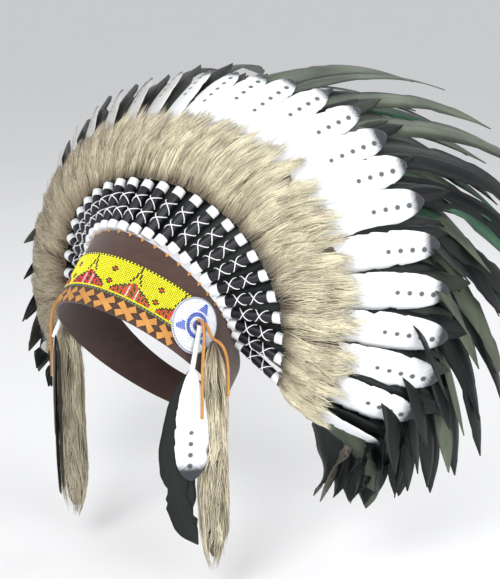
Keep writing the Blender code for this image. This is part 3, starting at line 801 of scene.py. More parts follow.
def plume_line(place, kind, scale=1.0, lean=0.0, back=0.0, droop=1.0, power=DROOP_POWER, sweep=0.0):
    """Line of a feather from its foot on the band, with its place counted from the brow."""
    side = -1 if place < 0 else 1
    row = fan_row(abs(place) / plumes_a_side)
    angle = float(ring_angle(abs(place) * plume_pitch))
    pull_pitch = math.radians(row["pull"])
    level = tilt.transposed()
    pull = level @ Vector((0, math.cos(pull_pitch), math.sin(pull_pitch)))
    sink = (level @ Vector(SINK)).normalized()
    heading = lean_direction(row)
    leaning = lean_direction(row, lean, back)
    share = abs(place) / plumes_a_side
    aim = (lean_direction(fan_row(share + 0.05)) - lean_direction(fan_row(share - 0.05))).normalized()
    across = pull.cross(heading).normalized()
    outward = Vector((half_y * math.sin(angle), -half_x * math.cos(angle), 0)).normalized()
    along = outward.cross(Vector((0, 0, 1)))
    speed = math.hypot(half_x * math.cos(angle), half_y * math.sin(angle))
    slope = (BROW_HEIGHT - NAPE_HEIGHT) / 2 * abs(math.sin(angle)) / speed * max(0.0, heading.z)
    dip = math.hypot(heading.dot(along), min(0.0, heading.z))
    dip = dip / math.sqrt(1 - dip**2)
    foot_gap = GAP + BAND_WALL / 2 * abs(heading.dot(outward)) + TAPE_DIAMETER / 2 * (slope + dip)
    foot = Vector(oval_points(angle, band_top(angle), -BAND_WALL / 2)) + heading * foot_gap
    white = WHITE_LENGTH * row["white"]
    length = scale * (white if kind == "white" else COQUE_LENGTH * row["coque"])
    point = foot + heading * QUILL_LENGTH
    points, headings = [foot, point], [heading, heading]
    step = length / LINE_STEPS
    for i in range(LINE_STEPS):
        gone = (i + 0.5) * step
        way = leaning if lean or back else heading
        blend = min(1.0, gone / LEAN_BLEND)
        way = (heading * (1 - blend) + way * blend).normalized()
        way = rotated(way, pull, math.radians(row["turn"]) * min(gone / white, TURN_LIMIT))
        if kind != "white":
            sag = math.radians(row["droop"]) * droop * (gone / length) ** power
            way = rotated(way, sink, min(sag, way.angle(sink) * 0.9))
            if sweep:
                turn = math.radians(sweep) * (gone / length) ** SWEEP_POWER
                way = rotated(way, aim, min(turn, way.angle(aim) * 0.9))
        point = point + way * step
        points.append(point)
        headings.append(way)
    turned = [np.array(points) @ tilt_rows.T, np.array(headings) @ tilt_rows.T]
    return Line(*turned, np.array(across) @ tilt_rows.T, side)


places = range(-plumes_a_side, plumes_a_side + 1)
quill_spots, quill_bases = [], []
for place in places:
    line = plume_line(place, "white")
    point, way, across, face = line.at(0.0)
    aside = math.radians(np.interp(abs(place), (0, 3, 8, 12), (0, 22, 18, 0)))
    right = (across * math.cos(aside) - face * math.sin(aside)) * line.side
    quill_spots.append(point)
    quill_bases.append(np.stack((right, np.cross(way, right), way), axis=1))


def surface_tilt(line, place, distance=0.12):
    """Angle that lays a feather's vane along the surface through its outer neighbour."""
    beside = plume_line(place + (1 if place >= 0 else -1), "white")
    point, way, across, face = line.at(distance)
    step = beside.at(distance)[0] - point
    return math.atan2(step @ face, step @ across)


black_satin = Finish("black_satin", {"Specular IOR Level": 0.4})
x, y, z = black_satin.mark("own")
turns = black_satin.node(
    "ShaderNodeTexWave", {"bands_direction": "Z"},
    {"Vector": black_satin.joined(x, y, z + x * 0.12), "Scale": 0.55, "Distortion": 0.6, "Detail": 2.0})
black_satin.feed("Base Color", black_satin.mixed(turns, (0.003, 0.003, 0.005, 1), (0.013, 0.014, 0.019, 1)))
black_satin.feed("Roughness", turns * 0.14 + 0.34)
black_satin.emboss(turns, 0.2, 0.0002)

white_tape = Finish("white_tape", {"Specular IOR Level": 0.4, "Subsurface Weight": 0.05})
x, y, z = white_tape.mark("own")
folds = white_tape.noise(white_tape.joined(x * 0.6, y * 0.6, z * 2.4), 1.0, 3.0)
# Painted shade: the white tape is greyed in the low places of its folds, where shade falls in the creases.
white_tape.feed("Base Color", white_tape.mixed(folds, (0.60, 0.60, 0.62, 1), (0.92, 0.92, 0.92, 1)))
white_tape.feed("Roughness", folds * 0.3 + 0.35)
white_tape.emboss(folds, 0.5, 0.0004)

white_thread = Finish("white_thread", {"Roughness": 0.6, "Specular IOR Level": 0.3})
x, y, z = white_thread.mark("own")
twine = white_thread.node("ShaderNodeTexWave", {"bands_direction": "DIAGONAL"},
                          {"Vector": white_thread.joined(x, y, z), "Scale": 2.5})
white_thread.feed("Base Color", white_thread.mixed(twine, (0.72, 0.73, 0.76, 1), (0.93, 0.93, 0.93, 1)))
white_thread.emboss(twine, 0.3, 0.0001)


def cylinder(radius, length, base, sides, rim):
    """A round bar along +Z with bevelled ends."""
    bar = fresh(
        bpy.ops.mesh.primitive_cylinder_add, "bar",
        vertices=sides, radius=radius, depth=length, location=(0, 0, base + length / 2))
    bpy.ops.object.transform_apply(location=True, rotation=True, scale=True)
    with editing():
        bpy.ops.mesh.bevel(offset=rim, segments=2, affect="EDGES", clamp_overlap=True)
    return bar


def each_quill(name, model, nodes=()):
    """Copies a modelled piece onto every quill, and removes the model."""
    pieces = copies(name, model, quill_bases, quill_spots)
    seat(pieces, nodes)
    bpy.data.objects.remove(model)


wrap_start = TAPE_LENGTH - WRAP_TUCK
wrap = cylinder(
    WRAP_DIAMETER / 2, QUILL_LENGTH + WRAP_PAST - wrap_start, wrap_start, QUILL_SIDES, WRAP_RIM)
wrap.data.materials.append(black_satin.material)
each_quill("quill_wraps", wrap, plume_names)

for label, base in (("lower", 0.0), ("upper", QUILL_LENGTH - TAPE_LENGTH)):
    tape = cylinder(TAPE_DIAMETER / 2, TAPE_LENGTH, base, QUILL_SIDES, TAPE_RIM)
    tape.data.materials.append(white_tape.material)
    each_quill(f"quill_tapes_{label}", tape)

strands = bpy.data.curves.new("cross_threads", "CURVE")
strands.dimensions = "3D"
strands.bevel_depth = THREAD / 2
strands.bevel_resolution = 1
strands.use_fill_caps = True
for middle in (QUILL_LENGTH * 0.36, QUILL_LENGTH * 0.64):
    for rise in (1, -1):
        strand = strands.splines.new("POLY")
        strand.points.add(10)
        for i, spot in enumerate(strand.points):
            t = i / 5 - 1
            turn = math.radians(THREAD_TURN) * t
            reach = WRAP_DIAMETER / 2 + THREAD * 0.4
            spot.co = (reach * math.sin(turn), -reach * math.cos(turn), middle + rise * THREAD_RISE * t, 1)
thread = bpy.data.objects.new("cross_threads", strands)
bpy.context.collection.objects.link(thread)
only(thread)
bpy.ops.object.convert(target="MESH")
thread = bpy.context.object
thread.data.materials.clear()
thread.data.materials.append(white_thread.material)
each_quill("quill_threads", thread)

# Tabs.  The tip of a tan leather loop shows under the foot of each quill, where the
# quill is tied down to the band's upper edge.
TAB_RADIUS = 0.0026
TAB_THICKNESS = 0.001
TAB_DROP = 0.0016

tab = fresh(
    bpy.ops.mesh.primitive_circle_add, "tab",
    vertices=3, radius=TAB_RADIUS, fill_type="NGON", rotation=(0, 0, math.pi))
bpy.ops.object.transform_apply(location=True, rotation=True, scale=True)
with editing():
    bpy.ops.mesh.extrude_region_move(TRANSFORM_OT_translate={"value": (0, 0, TAB_THICKNESS)})
    bpy.ops.mesh.select_all(action="SELECT")
    bpy.ops.mesh.normals_make_consistent(inside=False)
    bpy.ops.mesh.bevel(offset=0.0003, segments=1, affect="EDGES")
tab.data.materials.append(tan_leather.material)
spots, bases = [], []
for place in places:
    arc = place * plume_pitch
    up = float(band_top(ring_angle(arc))) - TAB_DROP
    spot = wall_points(arc, up, GAP)
    along = wall_points(arc + PROBE, up, GAP) - spot
    along /= np.linalg.norm(along)
    rise = tilt_rows[:, 2]
    spots.append(spot)
    bases.append(np.stack((along, rise, np.cross(along, rise)), axis=1))
tabs = copies("quill_tabs", tab, bases, spots)
seat(tabs, [])
bpy.data.objects.remove(tab)

# White feathers.  One stands in each quill, trimmed round at the tip, with a row of
# dots painted near the tip and the tip itself dyed black.
WHITE_WIDTH = 0.034
LOUVRE = 8.0
VANE_LAYER = 0.0012
VANE_THICKNESS = 0.0016
CREST_STEP = 0.0026
BARB_SLANT = 0.09
WHITE_CAMBER = 0.0014
RIM_THICKNESS = 0.0002
SHAFT_THICKNESS = 0.0004
WHITE_OUTLINE = ((0, 0.12), (0.10, 0.40), (0.22, 0.66), (0.38, 0.87), (0.58, 1.0), (0.76, 0.96),
                 (0.87, 0.82), (0.94, 0.60), (0.98, 0.34), (1, 0.10))
DOT_PITCH = 10.5
DOT_RADIUS = 2.6

white_feather = Finish("white_feather", {
    "Roughness": 0.75, "Specular IOR Level": 0.25, "Sheen Weight": 0.2, "Subsurface Weight": 0.08})
wide, up, to_tip = white_feather.mark("vane")
seed, dots, dark = white_feather.mark("tone")
barb_line = up - wide.math("ABSOLUTE") * 1.2
barbs = white_feather.noise(white_feather.joined(barb_line * 1.6, wide * 0.12, seed * 50.0), 1.0, 3.0)
shaft = (1.0 - wide.math("ABSOLUTE") * 0.8).clamped()
row = (to_tip - 14.0) / DOT_PITCH
centre = row.math("ROUND")
fall = (row - centre) * DOT_PITCH
off = wide - 1.5 - seed * 2.0 + centre * 0.4
apart = (fall * fall + off * off).math("SQRT")
inside = ((DOT_RADIUS + 0.5 - centre * 0.14 - apart) / 1.2).clamped()
counted = centre.math("GREATER_THAN", -0.5) * (dots - centre).math("GREATER_THAN", 0.5)
dyed = ((dark * 14.0 - to_tip + barbs * 9.0 - 5.0) / 8.0).clamped()
soil = white_feather.noise(white_feather.joined(wide * 0.15, up * 0.05, seed * 31.0), 1.0, 2.0)
colour = white_feather.mixed(barbs, (0.76, 0.77, 0.80, 1), (0.94, 0.94, 0.95, 1))
colour = white_feather.mixed(shaft * 0.30, colour, (0.66, 0.64, 0.60, 1))
colour = white_feather.mixed((soil * 0.5 - 0.15).clamped(), colour, (0.62, 0.60, 0.56, 1))
# Painted shade: the white feathers on the wearer's right side (negative X) are darkened towards a dull beige,
# mottled by the soil noise, where that side lies in shade.
far_side_shade = white_feather.node("ShaderNodeSeparateXYZ", {}, [white_feather.place()]) * -16.0
colour = white_feather.mixed(far_side_shade.clamped() * (soil * 0.5 + 0.45), colour, (0.36, 0.32, 0.28, 1))
colour = white_feather.mixed(dyed, colour, (0.035, 0.036, 0.045, 1))
colour = white_feather.mixed(inside * counted * 0.92, colour, (0.040, 0.043, 0.046, 1))
white_feather.feed("Base Color", colour)
white_feather.emboss(barbs + shaft * 0.6, 0.35, 0.0004)


def smooth_outline(outline, shares):
    """A vane's half width along its length, as a share of its widest."""
    knots, widths = np.array(outline, float).T
    return np.clip(smooth_curve(knots, widths, shares), 0.02, 1.05)


def array_mesh(name, points, faces, marks, finish):
    """A piece from arrays, with its attributes as three numbers for each point."""
    mesh = bpy.data.meshes.new(name)
    mesh.from_pydata(points.tolist(), [], faces)
    for label, values in marks.items():
        layer = mesh.attributes.new(label, "FLOAT_VECTOR", "POINT")
        layer.data.foreach_set("vector", np.asarray(values, float).ravel())
    mesh.shade_smooth()
    thing = bpy.data.objects.new(name, mesh)
    bpy.context.collection.objects.link(thing)
    thing.data.materials.append(finish.material)
    return thing


class Flock:
    """Feathers of one finish, gathered as points and faces before they become a piece."""

    def __init__(self):
        self.points = []
        self.faces = []
        self.marks = {}
        self.count = 0

    def add(self, points, faces, marks):
        self.faces += [tuple(i + self.count for i in face) for face in faces]
        self.points.append(points)
        self.count += len(points)
        for label, values in marks.items():
            self.marks.setdefault(label, []).append(values)

    def piece(self, name, finish):
        marks = {label: np.concatenate(values) for label, values in self.marks.items()}
        return array_mesh(name, np.concatenate(self.points), self.faces, marks, finish)


def vane(line, start, outline, half_width, louvre, layer, camber, rows, columns, rng, tone, notch=0.0):
    """A whole feather vane as one thin closed shell, in rows that slant like its barbs."""
    length = line.tip - start
    u = np.linspace(-1, 1, columns)
    v = np.linspace(0, 1, rows)
    along = v[:, None] + BARB_SLANT * abs(u)[None, :] * (1 - v[:, None]) * np.clip(v[:, None] * 6, 0, 1)
    width = smooth_outline(outline, along.ravel()).reshape(along.shape) * half_width
    if notch:
        cuts = np.array([[rng.uniform(0.97, 1.0) for side in (0, 1)] for row in range(rows)])
        for side in (0, 1):
            for spot in rng.sample(range(rows // 4, rows - 2), 3):
                depth = notch * rng.uniform(0.4, 1.0)
                for back in range(4):
                    cuts[spot - back, side] -= depth * (1 - back / 4)
        width = width * np.where(u[None, :] < 0, cuts[:, :1], cuts[:, 1:]) ** (abs(u) ** 3)
    distance = start + along * length
    point, way, across, face = line.at(distance)
    edge = across * math.cos(louvre) + face * math.sin(louvre)
    normal = face * math.cos(louvre) - across * math.sin(louvre)
    x = u[None, :] * width
    lift = camber * (1 - u[None, :] ** 2) * np.sin(np.pi * np.clip(along, 0.05, 0.95))
    thick = RIM_THICKNESS + SHAFT_THICKNESS * (1 - abs(u[None, :])) * (1 - 0.6 * along)
    middle = point + edge * x[..., None] + normal * (layer + lift)[..., None]
    top = middle + normal * thick[..., None]
    bottom = middle - normal * thick[..., None]
    points = np.concatenate((top.reshape(-1, 3), bottom.reshape(-1, 3)))
    count = rows * columns
    faces = []
    for i in range(rows - 1):
        for j in range(columns - 1):
            a = i * columns + j
            quad = (a, a + 1, a + columns + 1, a + columns)
            faces.append(quad)
            faces.append(tuple(count + k for k in reversed(quad)))
    rim = [(0, j) for j in range(columns)] + [(i, columns - 1) for i in range(1, rows)]
    rim += [(rows - 1, j) for j in range(columns - 2, -1, -1)] + [(i, 0) for i in range(rows - 2, 0, -1)]
    ring = [i * columns + j for i, j in rim]
    for a, b in zip(ring, ring[1:] + ring[:1]):
        faces.append((b, a, a + count, b + count))
    if line.side < 0:
        faces = [tuple(reversed(face)) for face in faces]
    marks = np.stack(((x + 0 * along) * 1000, along * length * 1000, (1 - along) * length * 1000), axis=-1)
    marks = np.concatenate((marks.reshape(-1, 3),) * 2)
    return points, faces, {"vane": marks, "tone": np.tile(tone, (len(points), 1))}


def lay_blades(centres, halves, ridges, marks):
    """Thin closed strips, each with a ridge down its front, one row of stations each."""
    count, stations = centres.shape[:2]
    points = np.stack((centres - halves, centres + ridges, centres + halves), axis=2)
    along = centres[:, 1] - centres[:, 0]
    hand = np.einsum("ij,ij->i", np.cross(halves[:, 0], along), ridges[:, 0]) >= 0
    base = (np.arange(count * stations) * 3).reshape(count, stations)
    quads = np.array(((0, 1, 4, 3), (1, 2, 5, 4), (2, 0, 3, 5)))
    body = base[:, :-1, None, None] + quads[None, None]
    body = np.where(hand[:, None, None, None], body, body[..., ::-1]).reshape(-1, 4)
    caps = np.stack((base[:, :1] + np.array((0, 2, 1)), base[:, -1:] + np.array((0, 1, 2))), axis=1)
    caps = np.where(hand[:, None, None], caps, caps[..., ::-1]).reshape(-1, 3)
    spread = {
        label: np.repeat(np.asarray(values)[:, :, None, :], 3, axis=2).reshape(-1, 3)
        for label, values in marks.items()
    }
    return points.reshape(-1, 3), body.tolist() + caps.tolist(), spread


rng = random.Random(4)
white_flock = Flock()
louvre = math.radians(LOUVRE)
for place in places:
    line = plume_line(place, "white")
    tone = (rng.random(), rng.choice((4, 4, 5)), rng.uniform(0.85, 1.25))
    slim = np.interp(place, (-8, -3, 3), (0.66, 0.78, 1.0)) * rng.uniform(0.95, 1.03)
    roll = surface_tilt(line, place) - louvre if place else 0.0
    white_flock.add(*vane(
        line, QUILL_LENGTH - TAPE_LENGTH / 2, WHITE_OUTLINE, WHITE_WIDTH / 2 * slim,
        roll, VANE_LAYER + (0 if place else CREST_STEP), WHITE_CAMBER, 64, 9, rng, tone, notch=0.12))
whites = white_flock.piece("white_feathers", white_feather)
seat(whites, [])

# Long feathers.  Arched cock's tail feathers stand behind each white one, grey-green,
# brown or black and shiny, with shorter black ones in the spaces between.
COQUE_WIDTH = 0.027
COQUE_CAMBER = 0.0024
COQUE_NOTCH = 0.25
SHEAF_LAYER = 0.0011
SHORT_CAMBER = 0.002
COQUE_OUTLINE = ((0, 0.10), (0.10, 0.45), (0.30, 0.82), (0.55, 1.0), (0.78, 0.90), (0.92, 0.62), (1, 0.05))
SHORT_OUTLINE = ((0, 0.54), (0.14, 0.62), (0.30, 0.72), (0.48, 0.90), (0.64, 1.0), (0.80, 0.90),
                 (0.92, 0.58), (1, 0.05))
SHORT_FOOT = 0.003
SHORT_LAYER = 0.0054
SHORT_HALF_WIDTHS = (0.0155, 0.0145, 0.0125)
FILLER_LAYER = 0.0014
BLACK, MOSS, EMERALD, UMBER = 0.0, 0.34, 0.67, 1.0
SHEAF = (
    (1.02, 0.0, 0.0, 1.0, 2.0, 28.0, (MOSS, MOSS, BLACK)),
    (0.95, -3.0, 1.0, 1.2, 1.8, 38.0, (MOSS, EMERALD, BLACK)),
    (0.93, 1.0, 2.0, 1.1, 1.7, 45.0, (MOSS, MOSS, EMERALD)),
    (0.87, -4.0, 3.0, 1.1, 1.6, 70.0, (MOSS, BLACK, EMERALD)),
    (0.80, 0.0, 5.0, 1.2, 1.5, 85.0, (UMBER, MOSS, BLACK)),
    (0.74, -5.0, 3.0, 1.1, 1.6, 55.0, (BLACK, BLACK, EMERALD)),
    (0.62, 4.0, 4.0, 1.0, 1.5, 30.0, (BLACK, UMBER, BLACK)),
)

coque = Finish("coque_feather", {"Specular IOR Level": 0.16})
wide, up, to_tip = coque.mark("vane")
seed, hue = coque.mark("tone")[:2]
barb_line = up - wide.math("ABSOLUTE") * 1.6
barbs = coque.noise(coque.joined(barb_line * 1.3, wide * 0.06, seed * 60.0), 1.0, 3.0)
patches = coque.noise(coque.joined(wide * 0.05, up * 0.02, seed * 40.0), 1.0, 1.0)
shaft = (1.0 - wide.math("ABSOLUTE") * 1.3).clamped()
rim = (wide.math("ABSOLUTE") * 0.16 - 0.9).clamped()
colour = coque.ramp(hue, (
    (0.0, (0.007, 0.008, 0.010, 1)),
    (0.34, (0.130, 0.155, 0.105, 1)),
    (0.67, (0.050, 0.155, 0.090, 1)),
    (1.0, (0.150, 0.122, 0.100, 1)),
))
colour = coque.mixed((patches * 2.6 - 0.9).clamped() * 0.65, colour, (0.018, 0.026, 0.022, 1))
colour = coque.mixed((barbs * 1.5 - 0.45).clamped() * 0.75, colour, (0.008, 0.010, 0.010, 1))
colour = coque.mixed(rim * 0.6, colour, (0.010, 0.012, 0.012, 1))
colour = coque.mixed(shaft * 0.3, colour, (0.04, 0.035, 0.030, 1))
coque.feed("Base Color", colour)
coque.feed("Roughness", barbs * 0.2 + 0.30)
coque.emboss(barbs + shaft, 0.4, 0.0005)

flocks = {"left": Flock(), "right": Flock(), "short": Flock()}
start = QUILL_LENGTH - TAPE_LENGTH / 2
for place in places:
    tilt_here = surface_tilt(plume_line(place, "white"), place) if place else 0.0
    far = np.interp(place, (-9, -2), (0.90, 1.0)) * np.interp(abs(place), (8, 13), (1.0, 0.86))
    for order, (scale, lean, back, droop, power, sweep, hues) in enumerate(SHEAF):
        line = plume_line(
            place if place else 0.001, "coque",
            scale=scale * rng.uniform(0.94, 1.0) * far,
            lean=lean + rng.uniform(-2, 2),
            back=back + rng.uniform(-1, 1.5) + np.interp(abs(place), (5, 8, 12, 13), (0, 9, 8, 3)),
            droop=droop * rng.uniform(0.9, 1.1),
            power=power,
            sweep=sweep * rng.uniform(0.85, 1.15) * far**2 * np.interp(abs(place), (0, 3), (0.5, 1.0)),
        )
        dark = rng.random() < np.interp(abs(place), (7, 10), (0.14, 0.85))
        tone = (rng.random(), BLACK if dark else rng.choice(hues) + rng.uniform(-0.04, 0.04), 0)
        flocks["right" if place < 0 else "left"].add(*vane(
            line, start, COQUE_OUTLINE, COQUE_WIDTH / 2 * rng.uniform(0.85, 1.12),
            tilt_here * 0.8 + rng.uniform(-0.2, 0.2), -VANE_LAYER - SHEAF_LAYER * order, COQUE_CAMBER,
            40, 5, rng, tone, notch=COQUE_NOTCH))
    broad = np.interp(place, (-8, -2, 2), SHORT_HALF_WIDTHS)
    for half, scale, foot, layer, outline in (
        (0.5, 1.06, SHORT_FOOT, SHORT_LAYER, SHORT_OUTLINE),
        (0.25, 1.14, start, FILLER_LAYER, COQUE_OUTLINE),
    ):
        line = plume_line(
            place - half if place > 0 else place + half if place < 0 else 0.001, "white",
            scale=scale * rng.uniform(0.94, 1.06), back=rng.uniform(0, 3))
        flocks["short"].add(*vane(
            line, foot, outline, broad, tilt_here + rng.uniform(-0.1, 0.1), -layer,
            SHORT_CAMBER, 36, 5, rng, (rng.random(), rng.choice((0.0, 0.0, 0.07)), 0), notch=COQUE_NOTCH))
for label, flock in flocks.items():
    long_feathers = flock.piece(f"dark_feathers_{label}", coque)
    seat(long_feathers, [])

# Fur ruff.  Strips of long grey-brown pelt, one tuft laid over the foot of each
# feather: a dark underfur layer, its darkness partly painted shade deep in the fur, and long hair in wisps
# combed outwards over it.
FUR_LENGTH = 0.080
FUR_THICKNESS = 0.013
UNDERFUR_WALL = 0.0015
CLEARED_HALF_WIDTH = 0.015
LOCK_STATIONS = 4
LOCK_WIDTHS = (0.00055, 0.00095)
LOCK_ROLL = 0.5
WISPS_A_TUFT = 30
LOCKS_A_WISP = 20

pelt = Finish("fur", {"Roughness": 0.9, "Specular IOR Level": 0.2, "Sheen Weight": 0.1})
along, own, wisp = pelt.mark("lock")
streak = pelt.noise(pelt.stretched(pelt.place(), (60.0, 60.0, 60.0)), 1.0, 2.0)
colour = pelt.ramp((along * 0.95 + own * 0.14 - 0.05).clamped(), (
    (0.0, (0.11, 0.088, 0.060, 1)),
    (0.15, (0.42, 0.36, 0.25, 1)),
    (0.45, (0.86, 0.79, 0.57, 1)),
    (0.85, (0.93, 0.87, 0.68, 1)),
    (1.0, (0.40, 0.35, 0.26, 1)),
))
dark_hair = (own * 6.0 - 4.8).clamped()
colour = pelt.mixed(dark_hair * 0.8, colour, (0.10, 0.078, 0.055, 1))
cream_hair = (1.0 - own * 7.0).clamped()
colour = pelt.mixed(cream_hair * (along * 1.5).clamped() * 0.8, colour, (0.86, 0.80, 0.64, 1))
colour = pelt.mixed((streak * 2.2 - 0.9).clamped() * 0.35, colour, (0.27, 0.225, 0.155, 1))
# Darker wisps: partly the hair's own random tone, partly painted shade in the partings between tufts.
colour = pelt.mixed(wisp * 0.5, colour, (0.24, 0.20, 0.14, 1))
# Painted shade: the fur on the wearer's right side (negative X) is darkened towards brown, where that side
# lies in shade.
far_side_fur_shade = pelt.node("ShaderNodeSeparateXYZ", {}, [pelt.place()]) * -7.0
colour = pelt.mixed(far_side_fur_shade.clamped() * 0.5, colour, (0.27, 0.21, 0.145, 1))
pelt.feed("Base Color", colour)

# The underfur layer stands for the pelt's own underfur, and its dark brown is also painted shade deep in the
# fur and in the gaps between the wisps.
shaded_underfur = Finish("shaded_underfur", {"Roughness": 0.95, "Specular IOR Level": 0.1})
down = shaded_underfur.noise(shaded_underfur.place(), 420.0, 4.0)
shaded_underfur.feed("Base Color", shaded_underfur.mixed(down, (0.045, 0.034, 0.025, 1), (0.20, 0.165, 0.115, 1)))
shaded_underfur.emboss(down, 0.6, 0.001)


class Spread:
    """The fan of white feathers as one surface, at any place and distance along it."""

    def __init__(self):
        self.places = np.linspace(-plumes_a_side - 1, plumes_a_side + 1, 8 * plumes_a_side + 9)
        self.gone = np.linspace(0.04, 0.16, 25)
        rows = []
        furs = []
        for place in self.places:
            line = plume_line(place, "white")
            point, way, across, face = line.at(self.gone)
            rows.append((point, way, across * line.side, face))
            furs.append(fan_row(abs(place) / plumes_a_side)["fur"])
        point, way, across, face = (np.array([row[i] for row in rows]) for i in range(4))
        step = np.gradient(point, self.places, axis=0)
        slope = abs((step * face).sum(-1)) / abs((step * across).sum(-1))
        shares = (self.gone[None, :] - QUILL_LENGTH) / WHITE_LENGTH
        half = CLEARED_HALF_WIDTH * np.interp(shares, *zip(*WHITE_OUTLINE))
        clear = half * (slope * 0.4 + math.tan(math.radians(LOUVRE))) + VANE_LAYER + VANE_THICKNESS
        clear = clear + CREST_STEP * np.clip(1 - abs(self.places[:, None]), 0, 1)
        self.table = np.concatenate((point, way, across, face, clear[..., None]), axis=-1)
        self.fur = np.array(furs)

    def reach(self, place):
        return FUR_LENGTH * np.interp(place, self.places, self.fur)

    def at(self, place, gone):
        """Interpolated point, way, across, face and the height that clears the feathers."""
        column = (place - self.places[0]) / (self.places[1] - self.places[0])
        row = (gone - self.gone[0]) / (self.gone[1] - self.gone[0])
        column = np.clip(column, 0, len(self.places) - 1.001)
        row = np.clip(row, 0, len(self.gone) - 1.001)
        i, j = column.astype(int), row.astype(int)
        s, t = (column - i)[..., None], (row - j)[..., None]
        near = self.table[i, j] * (1 - s) + self.table[i + 1, j] * s
        far = self.table[i, j + 1] * (1 - s) + self.table[i + 1, j + 1] * s
        value = near * (1 - t) + far * t
        parts = [value[..., k:k + 3] for k in (0, 3, 6, 9)]
        for part in parts[1:]:
            part /= np.linalg.norm(part, axis=-1, keepdims=True)
        return (*parts, value[..., 12])


def lay_locks(centres, normals, widths, roll, own, wisp):
    """Tapering three-sided locks along rows of centres, each rolled about itself."""
    stations = centres.shape[1]
    t = np.linspace(0, 1, stations)
    hair = np.gradient(centres, axis=1)
    hair /= np.linalg.norm(hair, axis=-1, keepdims=True)
    beside = np.cross(normals, hair)
    beside /= np.linalg.norm(beside, axis=-1, keepdims=True)
    lifted = np.cross(hair, beside)
    turn = roll[:, None, None]
    taper = np.interp(t, (0, 0.3, 0.7, 1), (0.8, 1.0, 0.7, 0.05))
    taper = taper[None, :, None] * widths[:, None, None] / 2
    halves = (beside * np.cos(turn) + lifted * np.sin(turn)) * taper
    ridges = (lifted * np.cos(turn) - beside * np.sin(turn)) * taper * 1.1
    marks = np.zeros(centres.shape)
    marks[..., 0] = t[None, :]
    marks[..., 1] = own[:, None]
    marks[..., 2] = wisp[:, None]
    return lay_blades(centres, halves, ridges, {"lock": marks})


spread = Spread()
rand = np.random.RandomState(11)
base = fresh(
    bpy.ops.mesh.primitive_grid_add, "fur_ruff_underfur",
    x_subdivisions=12 * plumes_a_side, y_subdivisions=10, size=1)
points = get_points(base)
column = points[:, 0] * (2 * plumes_a_side + 1.1)
share = points[:, 1] + 0.5
tuft = abs(column - np.round(column)) * 2
point, way, across, face, clear = spread.at(
    column, QUILL_LENGTH + 0.001 + spread.reach(column) * (0.80 - 0.14 * tuft**2) * share)
rise = clear * np.interp(share, (0, 0.2), (0.5, 1))
rise += FUR_THICKNESS * np.interp(share, (0, 0.2, 0.5, 1), (0, 0.28, 0.42, 0.10)) * (1 - 0.35 * tuft**2)
set_points(base, point + face * rise[:, None])
walled(base, UNDERFUR_WALL)
base.data.shade_smooth()
seat(base, [], shaded_underfur)

tufts = np.repeat(np.arange(-plumes_a_side, plumes_a_side + 1), WISPS_A_TUFT)
number = len(tufts)
aside = rand.uniform(-1, 1, number)
wisp_root = 0.62 * rand.uniform(0, 1, number) ** 1.7
wisp_end = wisp_root + rand.uniform(0.34, 0.75, number)
wisp_end = np.minimum(wisp_end, 1.03 - 0.22 * aside**2 + rand.normal(0, 0.05, number))
wisp_place = tufts + aside * (0.34 + 0.20 * np.minimum(1, wisp_root * 4))
wisp_aim = tufts + aside * 0.44 + rand.normal(0, 0.15, number)
wisp_sway = rand.normal(0, 0.10, number)
# Each wisp's darkening: a random part for the hair's own tone, and a part growing towards the tuft's edges
# that is painted shade in the partings between tufts.
wisp_darkening = np.clip(0.85 * rand.uniform(0, 1, number) ** 1.5 + 0.7 * abs(aside) ** 4, 0, 1)
wisp_lift = rand.uniform(0.55, 1.0, number)

each = np.repeat(np.arange(number), LOCKS_A_WISP)
count = len(each)
t = np.linspace(0, 1, LOCK_STATIONS)[None, :]
arch = 4 * t * (1 - t)


def from_root(root, end):
    """Values at each lock's stations, from its root's value to its end's."""
    return root[:, None] + (end - root)[:, None] * t


root_place = wisp_place[each] + rand.normal(0, 0.14, count)
end_place = wisp_aim[each] + rand.normal(0, 0.075, count)
root_share = np.clip(wisp_root[each] + rand.normal(0, 0.04, count), -0.02, 0.9)
end_share = wisp_end[each] + rand.normal(0, 0.045, count)
sway = (wisp_sway[each] + rand.normal(0, 0.035, count))[:, None]
column = from_root(root_place, end_place) + sway * arch
share = from_root(root_share, end_share)
point, way, across, face, clear = spread.at(column, QUILL_LENGTH + 0.001 + spread.reach(column) * share)
thick = np.interp(share, (0, 0.12, 0.35, 0.7, 1.0), (0.15, 0.50, 0.90, 0.75, 0.40))
level = rand.uniform(0.75, 1.05, count)[:, None] * wisp_lift[each][:, None]
rise = clear + FUR_THICKNESS * thick * (0.35 + 0.65 * level * np.interp(t, (0, 0.35, 1), (0.4, 1.0, 0.85)))
centres = point + face * rise[..., None]
widths = rand.uniform(*LOCK_WIDTHS, count)
own = rand.uniform(0, 1, count)
roll = rand.normal(0, LOCK_ROLL, count)
for label, chosen in (("right", tufts[each] < 0), ("left", tufts[each] >= 0)):
    ruff = Flock()
    ruff.add(*lay_locks(
        centres[chosen], face[chosen], widths[chosen], roll[chosen], own[chosen], wisp_darkening[each][chosen]))
    seat(ruff.piece(f"fur_ruff_locks_{label}", pelt), ["fur_ruff"] if label == "left" else [])

# Drops.  A pale quill hangs from the middle of each rosette with one white feather
# and two black ones in it, and a long tail of the same fur beside them.
DROP_QUILL_LENGTH = 0.037
DROP_QUILL_DIAMETER = 0.0045
DROP_WHITE_LENGTH = 0.104
DROP_WHITE_WIDTH = 0.031
DROP_DARK_LENGTH = 0.168
DROP_DARK_WIDTH = 0.026
DROP_FACING = math.radians(51)
DROP_FORWARD = 0.0185
DROP_LAYER = 0.0028
TAIL_LENGTH = 0.203
TAIL_HAIR = 1.09
TAIL_DIAMETER = 0.023
TAIL_DROP = 0.014
TAIL_NECK = 0.60
DROP_CAMBER = 0.0012
TAIL_WISPS = 100
TAIL_LOCK_WIDTHS = (0.0006, 0.0010)
TAIL_HALVES = np.array((0.0125, 0.0160))

